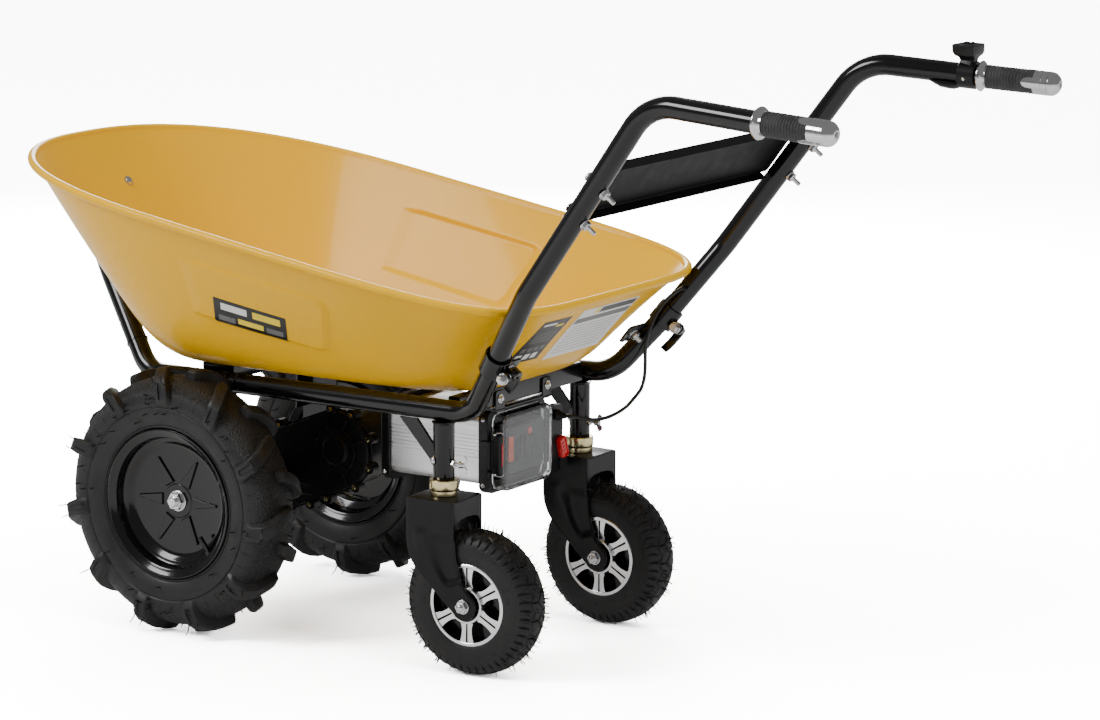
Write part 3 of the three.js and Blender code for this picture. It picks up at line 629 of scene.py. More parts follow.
# Each pair is a measure at level 0 and at the rim.
TUB_FRONT_X, TUB_REAR_X = (-155, -360), (512, 633)
TUB_HALF_W, TUB_WIDEST_X = (202, 322), (40, 60)
TUB_FRONT_POWER, TUB_REAR_POWER = (2.64, 2.5), (5, 5.4)
TUB_AROUND = 420  # points round the tub
BEAD_STEPS = 14
PANEL_LOW, PANEL_HIGH = 511.0, 609.0  # heights of the pressed side panel, along its slope
PANEL_FRONT, PANEL_REAR = (44, 0.16), (281, 0.38)  # x at its low edge, and the lean of its ends
PANEL_SLOPE = 0.156
PANEL_CORNER, PANEL_EDGE, PANEL_DEPTH = 16.0, 4.5, 3.8
PANEL_FROM_Y = 150  # nearer the middle than this, nothing is pressed


def mix(pair, t):
    """Between the pair's two values."""
    return pair[0] + (pair[1] - pair[0]) * t


def tub_height(level):
    """Height as a share of the rim's, with a round bend from floor to wall."""
    slope = 1 / ((TUB_WALL - TUB_FLAT) / 2 + 1 - TUB_WALL)
    bent_part = max(level - TUB_FLAT, 0)
    if level < TUB_WALL:
        return slope * bent_part**2 / (2 * (TUB_WALL - TUB_FLAT))
    return slope * ((TUB_WALL - TUB_FLAT) / 2 + level - TUB_WALL)


def tub_points(level, angles):
    """Inner face of the tub at one level, for an array of angles; angle 0 is at the handles."""
    cos, sin = np.cos(angles), np.sin(angles)
    front = cos < 0
    end = np.where(front, mix(TUB_FRONT_X, level), mix(TUB_REAR_X, level))
    power = np.where(front, mix(TUB_FRONT_POWER, level), mix(TUB_REAR_POWER, level))
    middle = mix(TUB_WIDEST_X, level)
    x = middle + (end - middle) * np.abs(cos) ** (2 / power)
    y = mix(TUB_HALF_W, level) * np.sign(sin) * np.abs(sin) ** (2 / power)
    floor = TUB_FLOOR_Z + TUB_SHEET
    z = floor + tub_height(level) * (RIM_Z + RIM_SLOPE * x - floor)
    return np.stack([x, y, z], axis=1)


def tub_normals(level, angles):
    """Outward normals of the tub's face."""
    step = 0.004
    up = tub_points(level + step, angles) - tub_points(level - step, angles)
    around = tub_points(level, angles + step) - tub_points(level, angles - step)
    n = np.cross(around, up)
    length = np.linalg.norm(n, axis=1, keepdims=True)
    n = n / np.maximum(length, 1e-9)
    if level <= TUB_FLAT + 0.01:
        n[:] = (0, 0, -1)
    return n


def pressed(points):
    """How far the side panels are pressed out at each point."""
    x, z = points[:, 0], points[:, 2]
    along = z + PANEL_SLOPE * x
    left, right = (foot + lean * (along - PANEL_LOW) for foot, lean in (PANEL_FRONT, PANEL_REAR))
    du = np.minimum(x - left, right - x)
    dv = np.minimum(along - PANEL_LOW, PANEL_HIGH - along)
    corner = PANEL_CORNER
    inside = corner - np.hypot(np.maximum(corner - du, 0), np.maximum(corner - dv, 0))
    inside = np.where((du > corner) | (dv > corner), np.minimum(du, dv), inside)
    t = np.clip(inside / PANEL_EDGE, 0, 1)
    return PANEL_DEPTH * t * t * (3 - 2 * t) * (np.abs(points[:, 1]) > PANEL_FROM_Y)


def even_angles(count):
    """Angles that space the rim's points about evenly along its length."""
    dense = np.linspace(0, 2 * math.pi, 6001)
    points = (tub_points(1.0, dense) + tub_points(0.2, dense)) / 2
    length = np.concatenate([[0], np.cumsum(np.linalg.norm(np.diff(points, axis=0), axis=1))])
    return np.interp(np.linspace(0, length[-1], count, endpoint=False), length, dense)


def make_tub():
    angles = even_angles(TUB_AROUND)
    levels = [TUB_FLAT + 0.05 * k for k in range(12)] + list(np.linspace(0.22, 1, 72))
    inner, outer = [], []
    for level in levels:
        points, normals = tub_points(level, angles), tub_normals(level, angles)
        shift = pressed(points)[:, None]
        inner.append(points + normals * shift)
        outer.append(points + normals * (shift + TUB_SHEET))
    flat = tub_normals(1.0, angles) * (1, 1, 0)
    flat /= np.linalg.norm(flat, axis=1, keepdims=True)
    middle = inner[-1] + flat * TUB_BEAD_R
    rise = np.array((0, 0, 1))
    bead = []
    for k in range(BEAD_STEPS + 1):
        turn = math.pi * (0.9 - 1.55 * k / BEAD_STEPS)
        bead.append(
            middle + flat * TUB_BEAD_R * math.cos(turn) + rise * TUB_BEAD_R * math.sin(turn),
        )
    tub = Solid(loft(inner + bead + outer[-2::-1]))
    piece("tub_shell", tub, YELLOW, "frame", ["tub"], sharp=50)
    point, normal = wall_spot(0.757, math.pi - 0.068)
    bolts = Solid(
        washer(point - normal * 0.1, -normal, 8.5, 1),
        dome_head(point - normal, -normal, 7, 4),
        hex_head(point + normal * (TUB_SHEET + 0.2), normal, 12, 3),
    )
    piece("tub_bolts", bolts, ZINC, "frame")


def wall_spot(level, angle):
    """A point of the tub's inner face and the outward normal there."""
    a = np.array([angle])
    return tub_points(level, a)[0], tub_normals(level, a)[0]


def wall_patch(corners, off, thick, angle_at, cols=8, rows=8):
    """A thin plate on the tub's outer face; its corners are (level, place), top pair first."""
    grid = []
    for lift in (off, off + thick):
        for j in range(rows + 1):
            for i in range(cols + 1):
                level, place = inside_corners(corners, i / cols, j / rows)
                point, normal = wall_spot(level, angle_at(level, place))
                grid.append(point + normal * (TUB_SHEET + lift + pressed(point[None])[0]))
    wide, size = cols + 1, (cols + 1) * (rows + 1)
    faces = []
    for j in range(rows):
        for i in range(cols):
            a = j * wide + i
            quad = (a, a + 1, a + wide + 1, a + wide)
            faces += [quad, tuple(size + q for q in quad[::-1])]
    edge = list(range(wide)) + [j * wide + cols for j in range(1, rows + 1)]
    edge += [
        rows * wide + i for i in range(cols - 1, -1, -1)
    ] + [j * wide for j in range(rows - 1, 0, -1)]
    faces += [(b, a, size + a, size + b) for a, b in zip(edge, edge[1:] + edge[:1])]
    return grid, faces


def inside_corners(corners, u, v):
    """The (level, place) at shares of a patch's width and height."""
    top = [mix((corners[0][k], corners[1][k]), u) for k in (0, 1)]
    low = [mix((corners[3][k], corners[2][k]), u) for k in (0, 1)]
    return mix((top[0], low[0]), v), mix((top[1], low[1]), v)


def sub_corners(corners, u0, u1, v0, v1):
    """The corners of a part of a patch, in shares of its width and height."""
    return [inside_corners(corners, u, v) for u, v in ((u0, v0), (u1, v0), (u1, v1), (u0, v1))]


def rear_angle(level, y):
    """The angle at which the rear wall passes a given y."""
    power = mix(TUB_REAR_POWER, level)
    share = abs(y) / mix(TUB_HALF_W, level)
    return math.copysign(math.asin(share ** (power / 2)), y)


def side_angle(level, x):
    """The angle at which the left wall passes a given x behind the widest place."""
    middle = mix(TUB_WIDEST_X, level)
    share = (x - middle) / (mix(TUB_REAR_X, level) - middle)
    return -math.acos(share ** (mix(TUB_REAR_POWER, level) / 2))


def label(name, corners, angle_at, material, bars, mirror=1):
    """A thin label; bars are (u0, u1, v0, v1, material) shares of it printed on top."""
    sheet = Solid(wall_patch(corners, 0.15, 0.3, angle_at))
    piece(name, sheet, material, "frame", (), mirror, sharp=60)
    looks = {}
    for *shares, look in bars:
        patch = wall_patch(sub_corners(corners, *shares), 0.5, 0.15, angle_at)
        looks.setdefault(look.name, (look, Solid()))[1].add(patch)
    for key, (look, solid) in looks.items():
        piece(name + "_" + key, solid, look, "frame", (), mirror, sharp=60)


def make_labels():
    rows = [(0.12, 0.88, 0.30 + 0.055 * k, 0.325 + 0.055 * k, GREY_LABEL) for k in range(5)]
    rows += [(0.10, 0.55, 0.08, 0.13, WHITE_LABEL), (0.60, 0.88, 0.15, 0.20, YELLOW_LABEL)]
    rows += [(0.10 + 0.21 * k, 0.24 + 0.21 * k, 0.66, 0.76, GREY_LABEL) for k in range(4)]
    rows += [(0.10 + 0.27 * k, 0.28 + 0.27 * k, 0.82, 0.94, WHITE_LABEL) for k in range(3)]
    corners = [(0.80, -146), (0.80, -76), (0.27, -76), (0.27, -146)]
    label("small_label", corners, rear_angle, BLACK_LABEL, rows)
    rows = [
        (0.36, 0.98, 0.03, 0.15, BLACK_LABEL), (0.27, 0.34, 0.03, 0.15, YELLOW_LABEL),
        (0.02, 0.98, 0.20, 0.31, GREY_LABEL),
    ]
    rows += [(0.08, 0.90, 0.38 + 0.065 * k, 0.388 + 0.065 * k, GREY_LABEL) for k in range(9)]
    corners = [(0.84, -52), (0.84, 104), (0.22, 104), (0.22, -52)]
    label("large_label", corners, rear_angle, WHITE_LABEL, rows)
    corners = [(0.52, 95), (0.47, 225), (0.25, 210), (0.31, 80)]
    rows = [
        (0.33, 0.68, 0.58, 0.78, YELLOW_LABEL), (0.06, 0.29, 0.62, 0.82, GREY_LABEL),
        (0.72, 0.95, 0.60, 0.80, GREY_LABEL),
    ]
    rows += [(0.10, 0.46, 0.14, 0.40, WHITE_LABEL), (0.54, 0.92, 0.14, 0.40, YELLOW_LABEL)]
    for tag, mirror in SIDES.items():
        label(tag + "_side_label", corners, side_angle, BLACK_LABEL, rows, mirror)


make_tub()
make_labels()


# ---- Frame ---------------------------------------------------------------------------------
HOOP_FOOT = towards(RAIL_FRONT, HOOP_LEG, 62)
HOOP_BEND, RAIL_BEND = 32, 64
BAR_HEIGHTS = {"rear_bar": (380, 410), "axle_bar": (382, 410)}


def make_frame():
    leg = [towards(HOOP_FOOT, HOOP_LEG, 0.3), HOOP_LEG, HOOP_TOP]
    other = [np.asarray(p, float) * (1, -1, 1) for p in leg][::-1]
    hoop = Solid(sweep(bent(leg + other, HOOP_BEND, 12), TUBE_R))
    piece("hoop", hoop, BLACK, "frame", ["front_hoop"])
    for tag, mirror in SIDES.items():
        end = towards(HANDLE_FOOT, RAIL_REAR, 4)
        line = bent([HOOP_FOOT, RAIL_FRONT, RAIL_REAR, end], RAIL_BEND, 16)
        rail = Solid(sweep(line, TUBE_R))
        way = unit(np.subtract(HOOP_LEG, RAIL_FRONT))
        weld = [(-7, 15.5), (-6, 17.4), (-4, 17.4), (-3, 15.5)]
        rail.add(revolve(weld, HOOP_FOOT, way, 40, closed=True))
        piece(tag + "_rail_tube", rail, BLACK, "frame", [tag + "_rail"], mirror)
    for name, x, half in (("rear", (452, 472), 168), ("axle", (-30, 30), 136)):
        outline = rounded(x, BAR_HEIGHTS[name + "_bar"], 3, 4)
        bar = Solid(prism(outline, along_y, -half, half))
        piece(name + "_bar", bar, BLACK, "frame", [name + "_crossmember"])


STEM_FOOT, STEM_TOP = 289.0, 375.5
STEM_SCREW_Z, WING_SCREW_Z = 317, 313
RING_LOW = 264.3


def make_stems():
    x, y = STEM
    for tag, mirror in SIDES.items():
        foot, top = STEM_FOOT, STEM_TOP
        stem = Solid()
        outline = [(foot, 13.5), (foot, 15.6), (foot + 0.6, TUBE_R), (top, TUBE_R), (top, 13.5)]
        weld = [(top - 3.5, 15.8), (top - 2, 17.6), (top - 0.3, 18.2), (top - 0.3, 15.8)]
        for profile in (outline, weld):
            stem.add(revolve(profile, (x, y, 0), (0, 0, 1), 48, closed=True))
        piece(tag + "_stem", stem, BLACK, "frame", [tag + "_stem_tube"], mirror)
        face = x - TUBE_R - 0.5
        shape = [(face - 62, 374.4), (face, 308), (face, 338), (face - 30, 374.4)]
        gusset = Solid(prism(shape, along_y, y - 2.5, y + 2.5))
        piece(tag + "_gusset", gusset, BLACK, "frame", [tag + "_stem_gusset"], mirror, bevel=0.7)
        way, out = (-0.7, -0.7, 0), (1, 0, 0)
        start = np.array((x + TUBE_R - 0.4, y + 0.0, WING_SCREW_Z))
        hub = [(0, 0), (0, 5.5), (3, 5), (8, 3.8), (9, 0)]
        screws = Solid(
            dome_head((x - 11, y - 11.6, STEM_SCREW_Z), way, 6.5, 4.5),
            washer((x - 10.6, y - 11.2, STEM_SCREW_Z), way, 8, 1.2),
            hex_head(start, out, 11, 5),
            screw_thread(start + (5, 0, 0), out, 3, 9),
            revolve(hub, start + (13, 0, 0), out, 24),
        )
        turns = np.linspace(-0.6, 3.3, 12)
        wing_edge = [(4 + 5.6 * math.sin(t), 5.5 - 5.6 * math.cos(t)) for t in turns]
        for wing in (-1, 1):
            outline = [(0, 0), *wing_edge, (0, 4)]
            shape = [(start[0] + 16 + u, start[2] + wing * (2.5 + v)) for u, v in outline]
            screws.add(prism(shape, along_y, y - 1.3, y + 1.3))
        piece(tag + "_stem_screws", screws, ZINC, "frame", (), mirror, bevel=0.4)
        low = RING_LOW
        outline = [(low, 13), (low, 19.4), (low + 0.8, 20), (272, 20), (273, 20.8), (275, 21.5)]
        outline += [(287.6, 21.5), (288.7, 20.6), (288.7, 13)]
        ring = Solid(revolve(outline, (x, y, 0), (0, 0, 1), 56, closed=True))
        piece(tag + "_ring", ring, GOLD_ZINC, "frame", [tag + "_swivel_ring"], mirror)


STRAP_AT, STRAP_LEAN = (559.5, 0, 464), 0.68


def make_brackets():
    for tag, mirror in SIDES.items():
        lean = Matrix.Translation(STRAP_AT) @ Matrix.Rotation(STRAP_LEAN, 4, "Y")
        strap = Solid()
        strap.add(prism(rounded((-199, -150), (-16, 16), 5, 5), along_x, -2, 2), lean)
        piece(tag + "_strap", strap, BLACK, "frame", [tag + "_tub_bracket"], mirror, bevel=0.5)
        way = np.array(lean.to_3x3() @ Vector((1, 0, 0)))
        spot = np.array(lean @ Vector((2, -172, 0)))
        bolts = Solid(
            washer(spot, way, 9, 1.6),
            hex_head(spot + way * 1.6, way, 13, 6.5),
            screw_thread(spot + way * 8, way, 4, 9),
        )
        piece(tag + "_strap_bolt", bolts, ZINC, "frame", (), mirror)
        edge = [(30, 381.7), (38, WHEEL_Z), (33, 185), (20, 173)]
        outline = [(-u, v) for u, v in edge] + edge[::-1]
        rib = [(-30, 381.7), (-34, 290), (-31, 290), (-27, 381.7)]
        seat = [(-6, 28.2), (-6, 33), (0, 34), (3, 34), (3, 28.2)]
        plate = Solid(
            prism(outline, along_y, -132, -129.4),
            prism(rib, along_y, -129.4, -108),
            revolve(seat, (0, -128, WHEEL_Z), (0, 1, 0), 48, closed=True),
        )
        piece(
            tag + "_axle_plate", plate, BLACK, "frame", [tag + "_axle_bracket"], mirror, bevel=0.5,
        )


make_frame()
make_stems()
make_brackets()


# ---- Handles, grips and crossbar ------------------------------------------------------------
GRIP_WAY = unit(np.subtract(GRIP_END, GRIP_START))
GRIP_LENGTH = float(np.linalg.norm(np.subtract(GRIP_END, GRIP_START)))
RUBBER = (15.0, 88.0)  # where the rubber sleeve starts and ends along the grip
RUBBER_RIBS = 15
HANDLE_BEND = 85


def make_handles():
    for tag, mirror in SIDES.items():
        line = bent([HANDLE_FOOT, HANDLE_KINK, HANDLE_CORNER, GRIP_START], HANDLE_BEND, 18)
        tube = Solid(sweep(line, TUBE_R, 40))
        piece(tag + "_handle_tube", tube, BLACK, "frame", [tag + "_handle"], mirror)
        make_grip(tag, mirror)
        make_clamp(tag, mirror)


def make_grip(tag, mirror):
    side, up = axes_for(GRIP_WAY)

    def on_grip(a, t, r):
        return GRIP_START + GRIP_WAY * a + (side * math.cos(t) + up * math.sin(t)) * r

    end = GRIP_LENGTH
    flange = [
        (1, 14), (1, 20.5), (1.8, 22.4), (3.2, 23), (4.6, 22.6), (5.6, 21), (6.6, 19.2), (8.5, 18),
        (11, 17.6),
    ]
    flange += [(13, 18), (14.2, 18), (14.6, 17), (14.6, 14)]
    chrome = Solid(revolve(flange, GRIP_START, GRIP_WAY, 64, closed=True))
    before_end = [
        (27, 18), (26.4, 17.2), (25.4, 17.2), (24.8, 18), (17, 18), (16.4, 17.1), (15.2, 17.1),
    ]
    before_end += [
        (14.6, 18), (11, 17.6), (7.5, 16.3), (4, 13.6), (1.6, 10.6), (0.4, 8.6), (0, 7.6),
    ]
    before_end += [(0, 4.2), (1, 3.6), (9, 3.4), (9, 0), (12, 0)]
    tip = [(RUBBER[1] + 0.3, 12), (RUBBER[1] + 0.3, 18)] + [(end - a, r) for a, r in before_end]
    chrome.add(revolve(tip, GRIP_START, GRIP_WAY, 64))
    for k in range(3):  # the raised fingers over the sleeve
        middle = 2 * math.pi * k / 3 + 0.55
        rows = []
        for j in range(9):
            a = RUBBER[1] + 0.6 - 17.5 * j / 8
            half = 0.42 * math.sqrt(max(0.0, 1 - (j / 8) ** 3)) + 0.03
            turns = np.linspace(middle - half, middle + half, 9)
            low, high = ([on_grip(a, t, r) for t in turns] for r in (16.9, 18.15))
            rows.append(low + high[::-1])
        chrome.add(loft(rows))
    piece(tag + "_grip_chrome", chrome, CHROME, "frame", [tag + "_grip_core"], mirror, sharp=40)
    profile = [(RUBBER[0], 13.8)]
    pitch = (RUBBER[1] - RUBBER[0]) / RUBBER_RIBS
    rib = ((0.02, 16.6), (0.18, 17.7), (0.4, 18), (0.62, 17.7), (0.78, 16.6))
    for k in range(RUBBER_RIBS):
        profile += [(RUBBER[0] + k * pitch + share * pitch, r) for share, r in rib]
    profile += [(RUBBER[1], 16.6), (RUBBER[1], 13.8)]
    rubber = Solid(revolve(profile, GRIP_START, GRIP_WAY, 72, closed=True))
    piece(
        tag + "_grip_sleeve", rubber, GRIP_RUBBER, "frame", [tag + "_grip_rubber"], mirror,
        sharp=60,
    )
    screw = screw_thread(towards(GRIP_START, GRIP_END, end - 11), GRIP_WAY, 2.6, 3)
    piece(tag + "_grip_screw", Solid(screw), ZINC, "frame", (), mirror)


HANDLE_WAY = unit(np.subtract(HANDLE_KINK, HANDLE_FOOT))
CLAMP_REAR = unit(np.cross((0, 1, 0), HANDLE_WAY))
CLAMP_SIDE = np.cross(HANDLE_WAY, CLAMP_REAR)
PIVOT_X, PIVOT_Z = 17, -6  # the lever's eye in the clamp's frame
CLAMP_BOLT_X = 27


def in_clamp(x, y, z):
    """A point of the clamp's own frame, whose X is to the rear and Z up the handle."""
    return np.asarray(HANDLE_FOOT) + CLAMP_REAR * x + CLAMP_SIDE * y + HANDLE_WAY * z


def make_clamp(tag, mirror):
    """A clamp collar with its bolt and lever; both levers are on the same side of their handle."""
    outline = [(-20, 18), (-20, 19.8), (-19.2, 20.5), (13.2, 20.5), (14, 19.8), (14, 18)]
    collar = Solid(revolve(outline, in_clamp(0, 0, 0), HANDLE_WAY, 48, closed=True))
    for y in (-6, 6):
        ear = rounded((18.5, 35.5), (-15, 3), 6, 5)
        collar.add(prism(ear, lambda u, v, w: in_clamp(u, w, v), y - 2.5, y + 2.5))
    piece(tag + "_collar", collar, BLACK, "frame", [tag + "_clamp_collar"], mirror, bevel=0.5)
    across = CLAMP_SIDE * mirror

    def on_bolt(y):
        return in_clamp(CLAMP_BOLT_X, y * mirror, PIVOT_Z)

    bolt = Solid(
        screw_thread(on_bolt(-19), across, 4, 31, 2),
        hex_head(on_bolt(-11.2), -across, 13, 6.5),
        washer(on_bolt(-8.6), -across, 9, 1.8),
    )
    piece(tag + "_clamp_bolt", bolt, ZINC, "frame", (), mirror)
    outer = [
        (17, -1.4), (22, -2.4), (26.4, -6), (28.6, -13), (29.2, -20), (28.4, -31), (25.2, -41),
        (19.5, -50),
    ]
    inner = [(15.5, -48), (20, -40), (22, -30), (21.6, -20), (20.6, -13)]
    turns = np.linspace(-0.4, -1.5, 12) * math.pi
    eye = [(PIVOT_X + 4.6 * math.cos(t), PIVOT_Z + 4.6 * math.sin(t)) for t in turns]
    shape = [(mirror * u, v) for u, v in outer + inner + eye[:-1]]
    lever = Solid(prism(shape, lambda u, v, w: in_clamp(w, u, v), 20.5, 33.5))
    made = piece(
        tag + "_cam_lever", lever, BLACK, tag + "_lever", [tag + "_clamp_lever"], mirror, bevel=1.4,
        sharp=50,
    )
    made.modifiers["edges"].segments = 3


CROSSBAR_AT = (769.5, 0, 742.5)
BAR_HALF, BAR_REACH, BAR_EAR = 48, 262, 286  # half height, half width, and half width with ears
BAR_SHEET = 2.5
BAR_BOLT_Z = 29


def make_crossbar():
    lean = math.atan2(HANDLE_CORNER[0] - HANDLE_KINK[0], HANDLE_CORNER[2] - HANDLE_KINK[2])
    turn = Matrix.Translation(CROSSBAR_AT) @ Matrix.Rotation(lean, 4, "Y")
    front = -TUBE_R - 0.9
    sheet, half = BAR_SHEET, BAR_HALF
    profile = [(front - sheet, -half), (front + 14, -half), (front + 14, -half + sheet)]
    profile += [(front + 1, -half + sheet), (front, -half + sheet + 1), (front, half - sheet - 1)]
    profile += [(front + 1, half - sheet), (front + 14, half - sheet), (front + 14, half)]
    profile += [(front - sheet, half - 0.01)]
    panel = Solid()
    panel.add(prism(profile, along_y, -BAR_REACH, BAR_REACH), turn)
    for side in (-1, 1):
        ear = rounded((-half, half), (BAR_REACH, BAR_EAR), 6, 5)
        shape = prism(ear, lambda u, v, w, s=side: (w, s * (v - 0.05), u), front - sheet, front)
        panel.add(shape, turn)
    piece("crossbar", panel, PANEL_BLACK, "frame", ["crossbar_panel"], bevel=0.6)
    for tag, mirror in SIDES.items():
        bolts = Solid()
        way = np.array(turn.to_3x3() @ Vector((1, 0, 0)))
        for z in (-BAR_BOLT_Z, BAR_BOLT_Z):
            y = -289.5 - 0.102 * (z + BAR_BOLT_Z) * 0.9  # the handles lean outwards
            head = np.array(turn @ Vector((front - sheet, y + 6.5, z)))
            bolts.add(dome_head(head, -way, 7.5, 3.8))
            nut = np.array(turn @ Vector((TUBE_R - 0.2, y, z)))
            bolts.add(washer(nut, way, 8.5, 1.6))
            bolts.add(hex_head(nut + way * 1.6, way, 13, 6))
            bolts.add(screw_thread(nut + way * 7.6, way, 3.6, 14))
        piece(tag + "_crossbar_bolts", bolts, ZINC, "frame", (), mirror)


make_handles()
make_crossbar()


# ---- Drive wheels --------------------------------------------------------------------------
LUGS = 11
DRIVE_CENTRE = (0, WHEEL_Y, WHEEL_Z)
# Each row: turn in degrees, base y and r, top y and r, base and top half width, recess depth.
LUG_ROWS = [
    (-9.6, 9, 189, 7.5, 203, 10, 6.5, 0), (-9.2, 5, 191, 3.5, 206.4, 10.5, 8.4, 0),
    (-8.4, -5, 191, -5, 207, 11, 9, 0), (-6.8, -16, 190, -17, 206.6, 11.5, 9.5, 0),
    (-4.2, -27, 186, -31, 203.4, 12.5, 10, 0), (-2.4, -35, 181, -42.5, 197, 13.5, 10.5, 0),
    (-1.3, -40, 175, -48.6, 189.5, 14.5, 11, 0), (-1.0, -41, 174, -49.6, 187, 14.5, 11, 3.0),
    (-0.2, -44.5, 165, -51.9, 174, 15.5, 11, 3.6), (0, -45.4, 160, -51.9, 166, 15.5, 10.6, 3.0),
    (0, -45.4, 157, -51.4, 162.5, 15, 10, 0), (0, -44.4, 150.4, -48.6, 153.6, 13, 7.5, 0),
]


def at_wheel(centre, turn, y, r):
    """A point by its turn from the top, clockwise as seen from the left side."""
    return np.array((centre[0] + r * math.sin(turn), centre[1] + y, centre[2] + r * math.cos(turn)))


def lug(turn, inner):
    """One tread lug, from the crown down the shoulder to the side wall."""
    rows = []
    for offset, yb, rb, yt, rt, hb, ht, dip in LUG_ROWS:
        start = turn + math.radians(offset)
        row = []
        slot = 0.42 * ht
        floor = 1 - dip / math.hypot(yt - yb, rt - rb)
        shape = [(-hb, 0), (-ht - 0.9, 0.86), (-ht, 0.96), (-ht + 1.2, 1), (-slot, 1)]
        shape += [(-slot * 0.8, floor)]
        shape += [(-s, t) for s, t in shape[::-1]]
        for s, t in shape:
            y, r = mix((yb, yt), t), mix((rb, rt), t)
            row.append(at_wheel(DRIVE_CENTRE, start + s / r, -y if inner else y, r))
        rows.append(row)
    return loft(rows)


def hair(solid, spot, way, length, r=1.1):
    """One moulding hair, slightly curled."""
    side, up = axes_for(way)
    curl = (side * rng.uniform(-1, 1) + up * rng.uniform(-1, 1)) * length * 0.22
    points = [
        np.asarray(spot, float), spot + unit(way) * length * 0.5, spot + unit(way) * length + curl,
    ]
    solid.add(sweep(points, [r, r * 0.9, r * 0.7], 5))


WALL_HAIRS, CROWN_HAIRS = 70, 20
HAIR_CHANCE = 0.8  # how many of the lugs' hairs are still there
CREASES = 4 * LUGS


def make_drive_wheel(tag, mirror):
    body = tag + "_drive_wheel"
    half = [
        (13, 192.6), (22, 191), (30, 187.6), (36.5, 182), (41.2, 175.5), (44.3, 168), (45.6, 160),
        (45.8, 152.6),
    ]
    half += [
        (45.5, 151.6), (44.4, 150.8), (44.3, 150.1), (45.3, 149.3), (45.5, 148), (44.9, 141),
        (42.8, 132), (40, 124.5),
    ]
    half += [
        (38.8, 122), (37.7, 121.4), (37.6, 120.8), (38.5, 120.1), (38.6, 118.8), (37.4, 118),
        (36.4, 117.2), (35.2, 113),
    ]
    half += [(33, 106), (26, 103)]
    profile = [(-y, r) for y, r in half[::-1]] + [(0, 193)] + half
    profile += [(24, 110), (36, 150), (24, 178), (-24, 178), (-36, 150), (-24, 110)]
    axle = (0, 1, 0)
    carcass = Solid(revolve(profile, DRIVE_CENTRE, axle, 176, closed=True))
    piece(
        tag + "_tyre", carcass, DRIVE_RUBBER, body, [tag + "_drive_tyre"], mirror, sharp=50,
        origin=DRIVE_CENTRE,
    )
    lugs, hairs = Solid(), Solid()
    pitch = 2 * math.pi / LUGS
    for k in range(LUGS):
        for inner in (False, True):
            turn = k * pitch + (pitch / 2 if inner else 0)
            lugs.add(lug(turn, inner))
            sign = 1 if inner else -1
            for s in (-8.5, 8.5):
                y, r = 49, 187
                if rng.random() < HAIR_CHANCE:
                    spot = at_wheel(DRIVE_CENTRE, turn - 0.02 + s / r, sign * y, r)
                    out = at_wheel((0, 0, 0), turn + rng.uniform(-0.2, 0.2), sign * 0.75, 1)
                    hair(hairs, spot, out, rng.uniform(13, 20))
    for k in range(WALL_HAIRS):
        turn, sign = rng.uniform(0, 2 * math.pi), rng.choice((-1, -1, 1))
        y, r = rng.choice(((45.2, 165), (44.6, 141), (42.8, 132), (45.4, 155), (44, 169)))
        out = at_wheel((0, 0, 0), turn + rng.uniform(-0.6, 0.6), sign * 1.6, rng.uniform(-0.4, 0.8))
        hair(hairs, at_wheel(DRIVE_CENTRE, turn, sign * y, r), out, rng.uniform(8, 14))
    for k in range(CROWN_HAIRS):
        turn = rng.uniform(0, 2 * math.pi)
        out = at_wheel((0, 0, 0), turn, rng.uniform(-0.4, 0.4), 1)
        hair(
            hairs, at_wheel(DRIVE_CENTRE, turn, rng.uniform(-20, 20), 192), out, rng.uniform(6, 10),
        )
    piece(
        tag + "_tyre_lugs", lugs, CASTER_RUBBER, body, (), mirror, bevel=0.8, sharp=40,
        origin=DRIVE_CENTRE,
    )
    piece(tag + "_tyre_hairs", hairs, CASTER_RUBBER, body, (), mirror)
    creases = Solid()
    wall = ((45.3, 152.8), (45.5, 160), (44.1, 168), (40.8, 176))
    for k in range(CREASES):
        turn = (k + 0.5) * pitch / 4
        for sign in (-1, 1):
            line = [at_wheel(DRIVE_CENTRE, turn, sign * y, r) for y, r in wall]
            creases.add(sweep(line, [0.3, 0.75, 0.75, 0.2], 6))
    piece(tag + "_tyre_creases", creases, CASTER_RUBBER, body, (), mirror)
    make_drive_rim(tag, mirror, body)


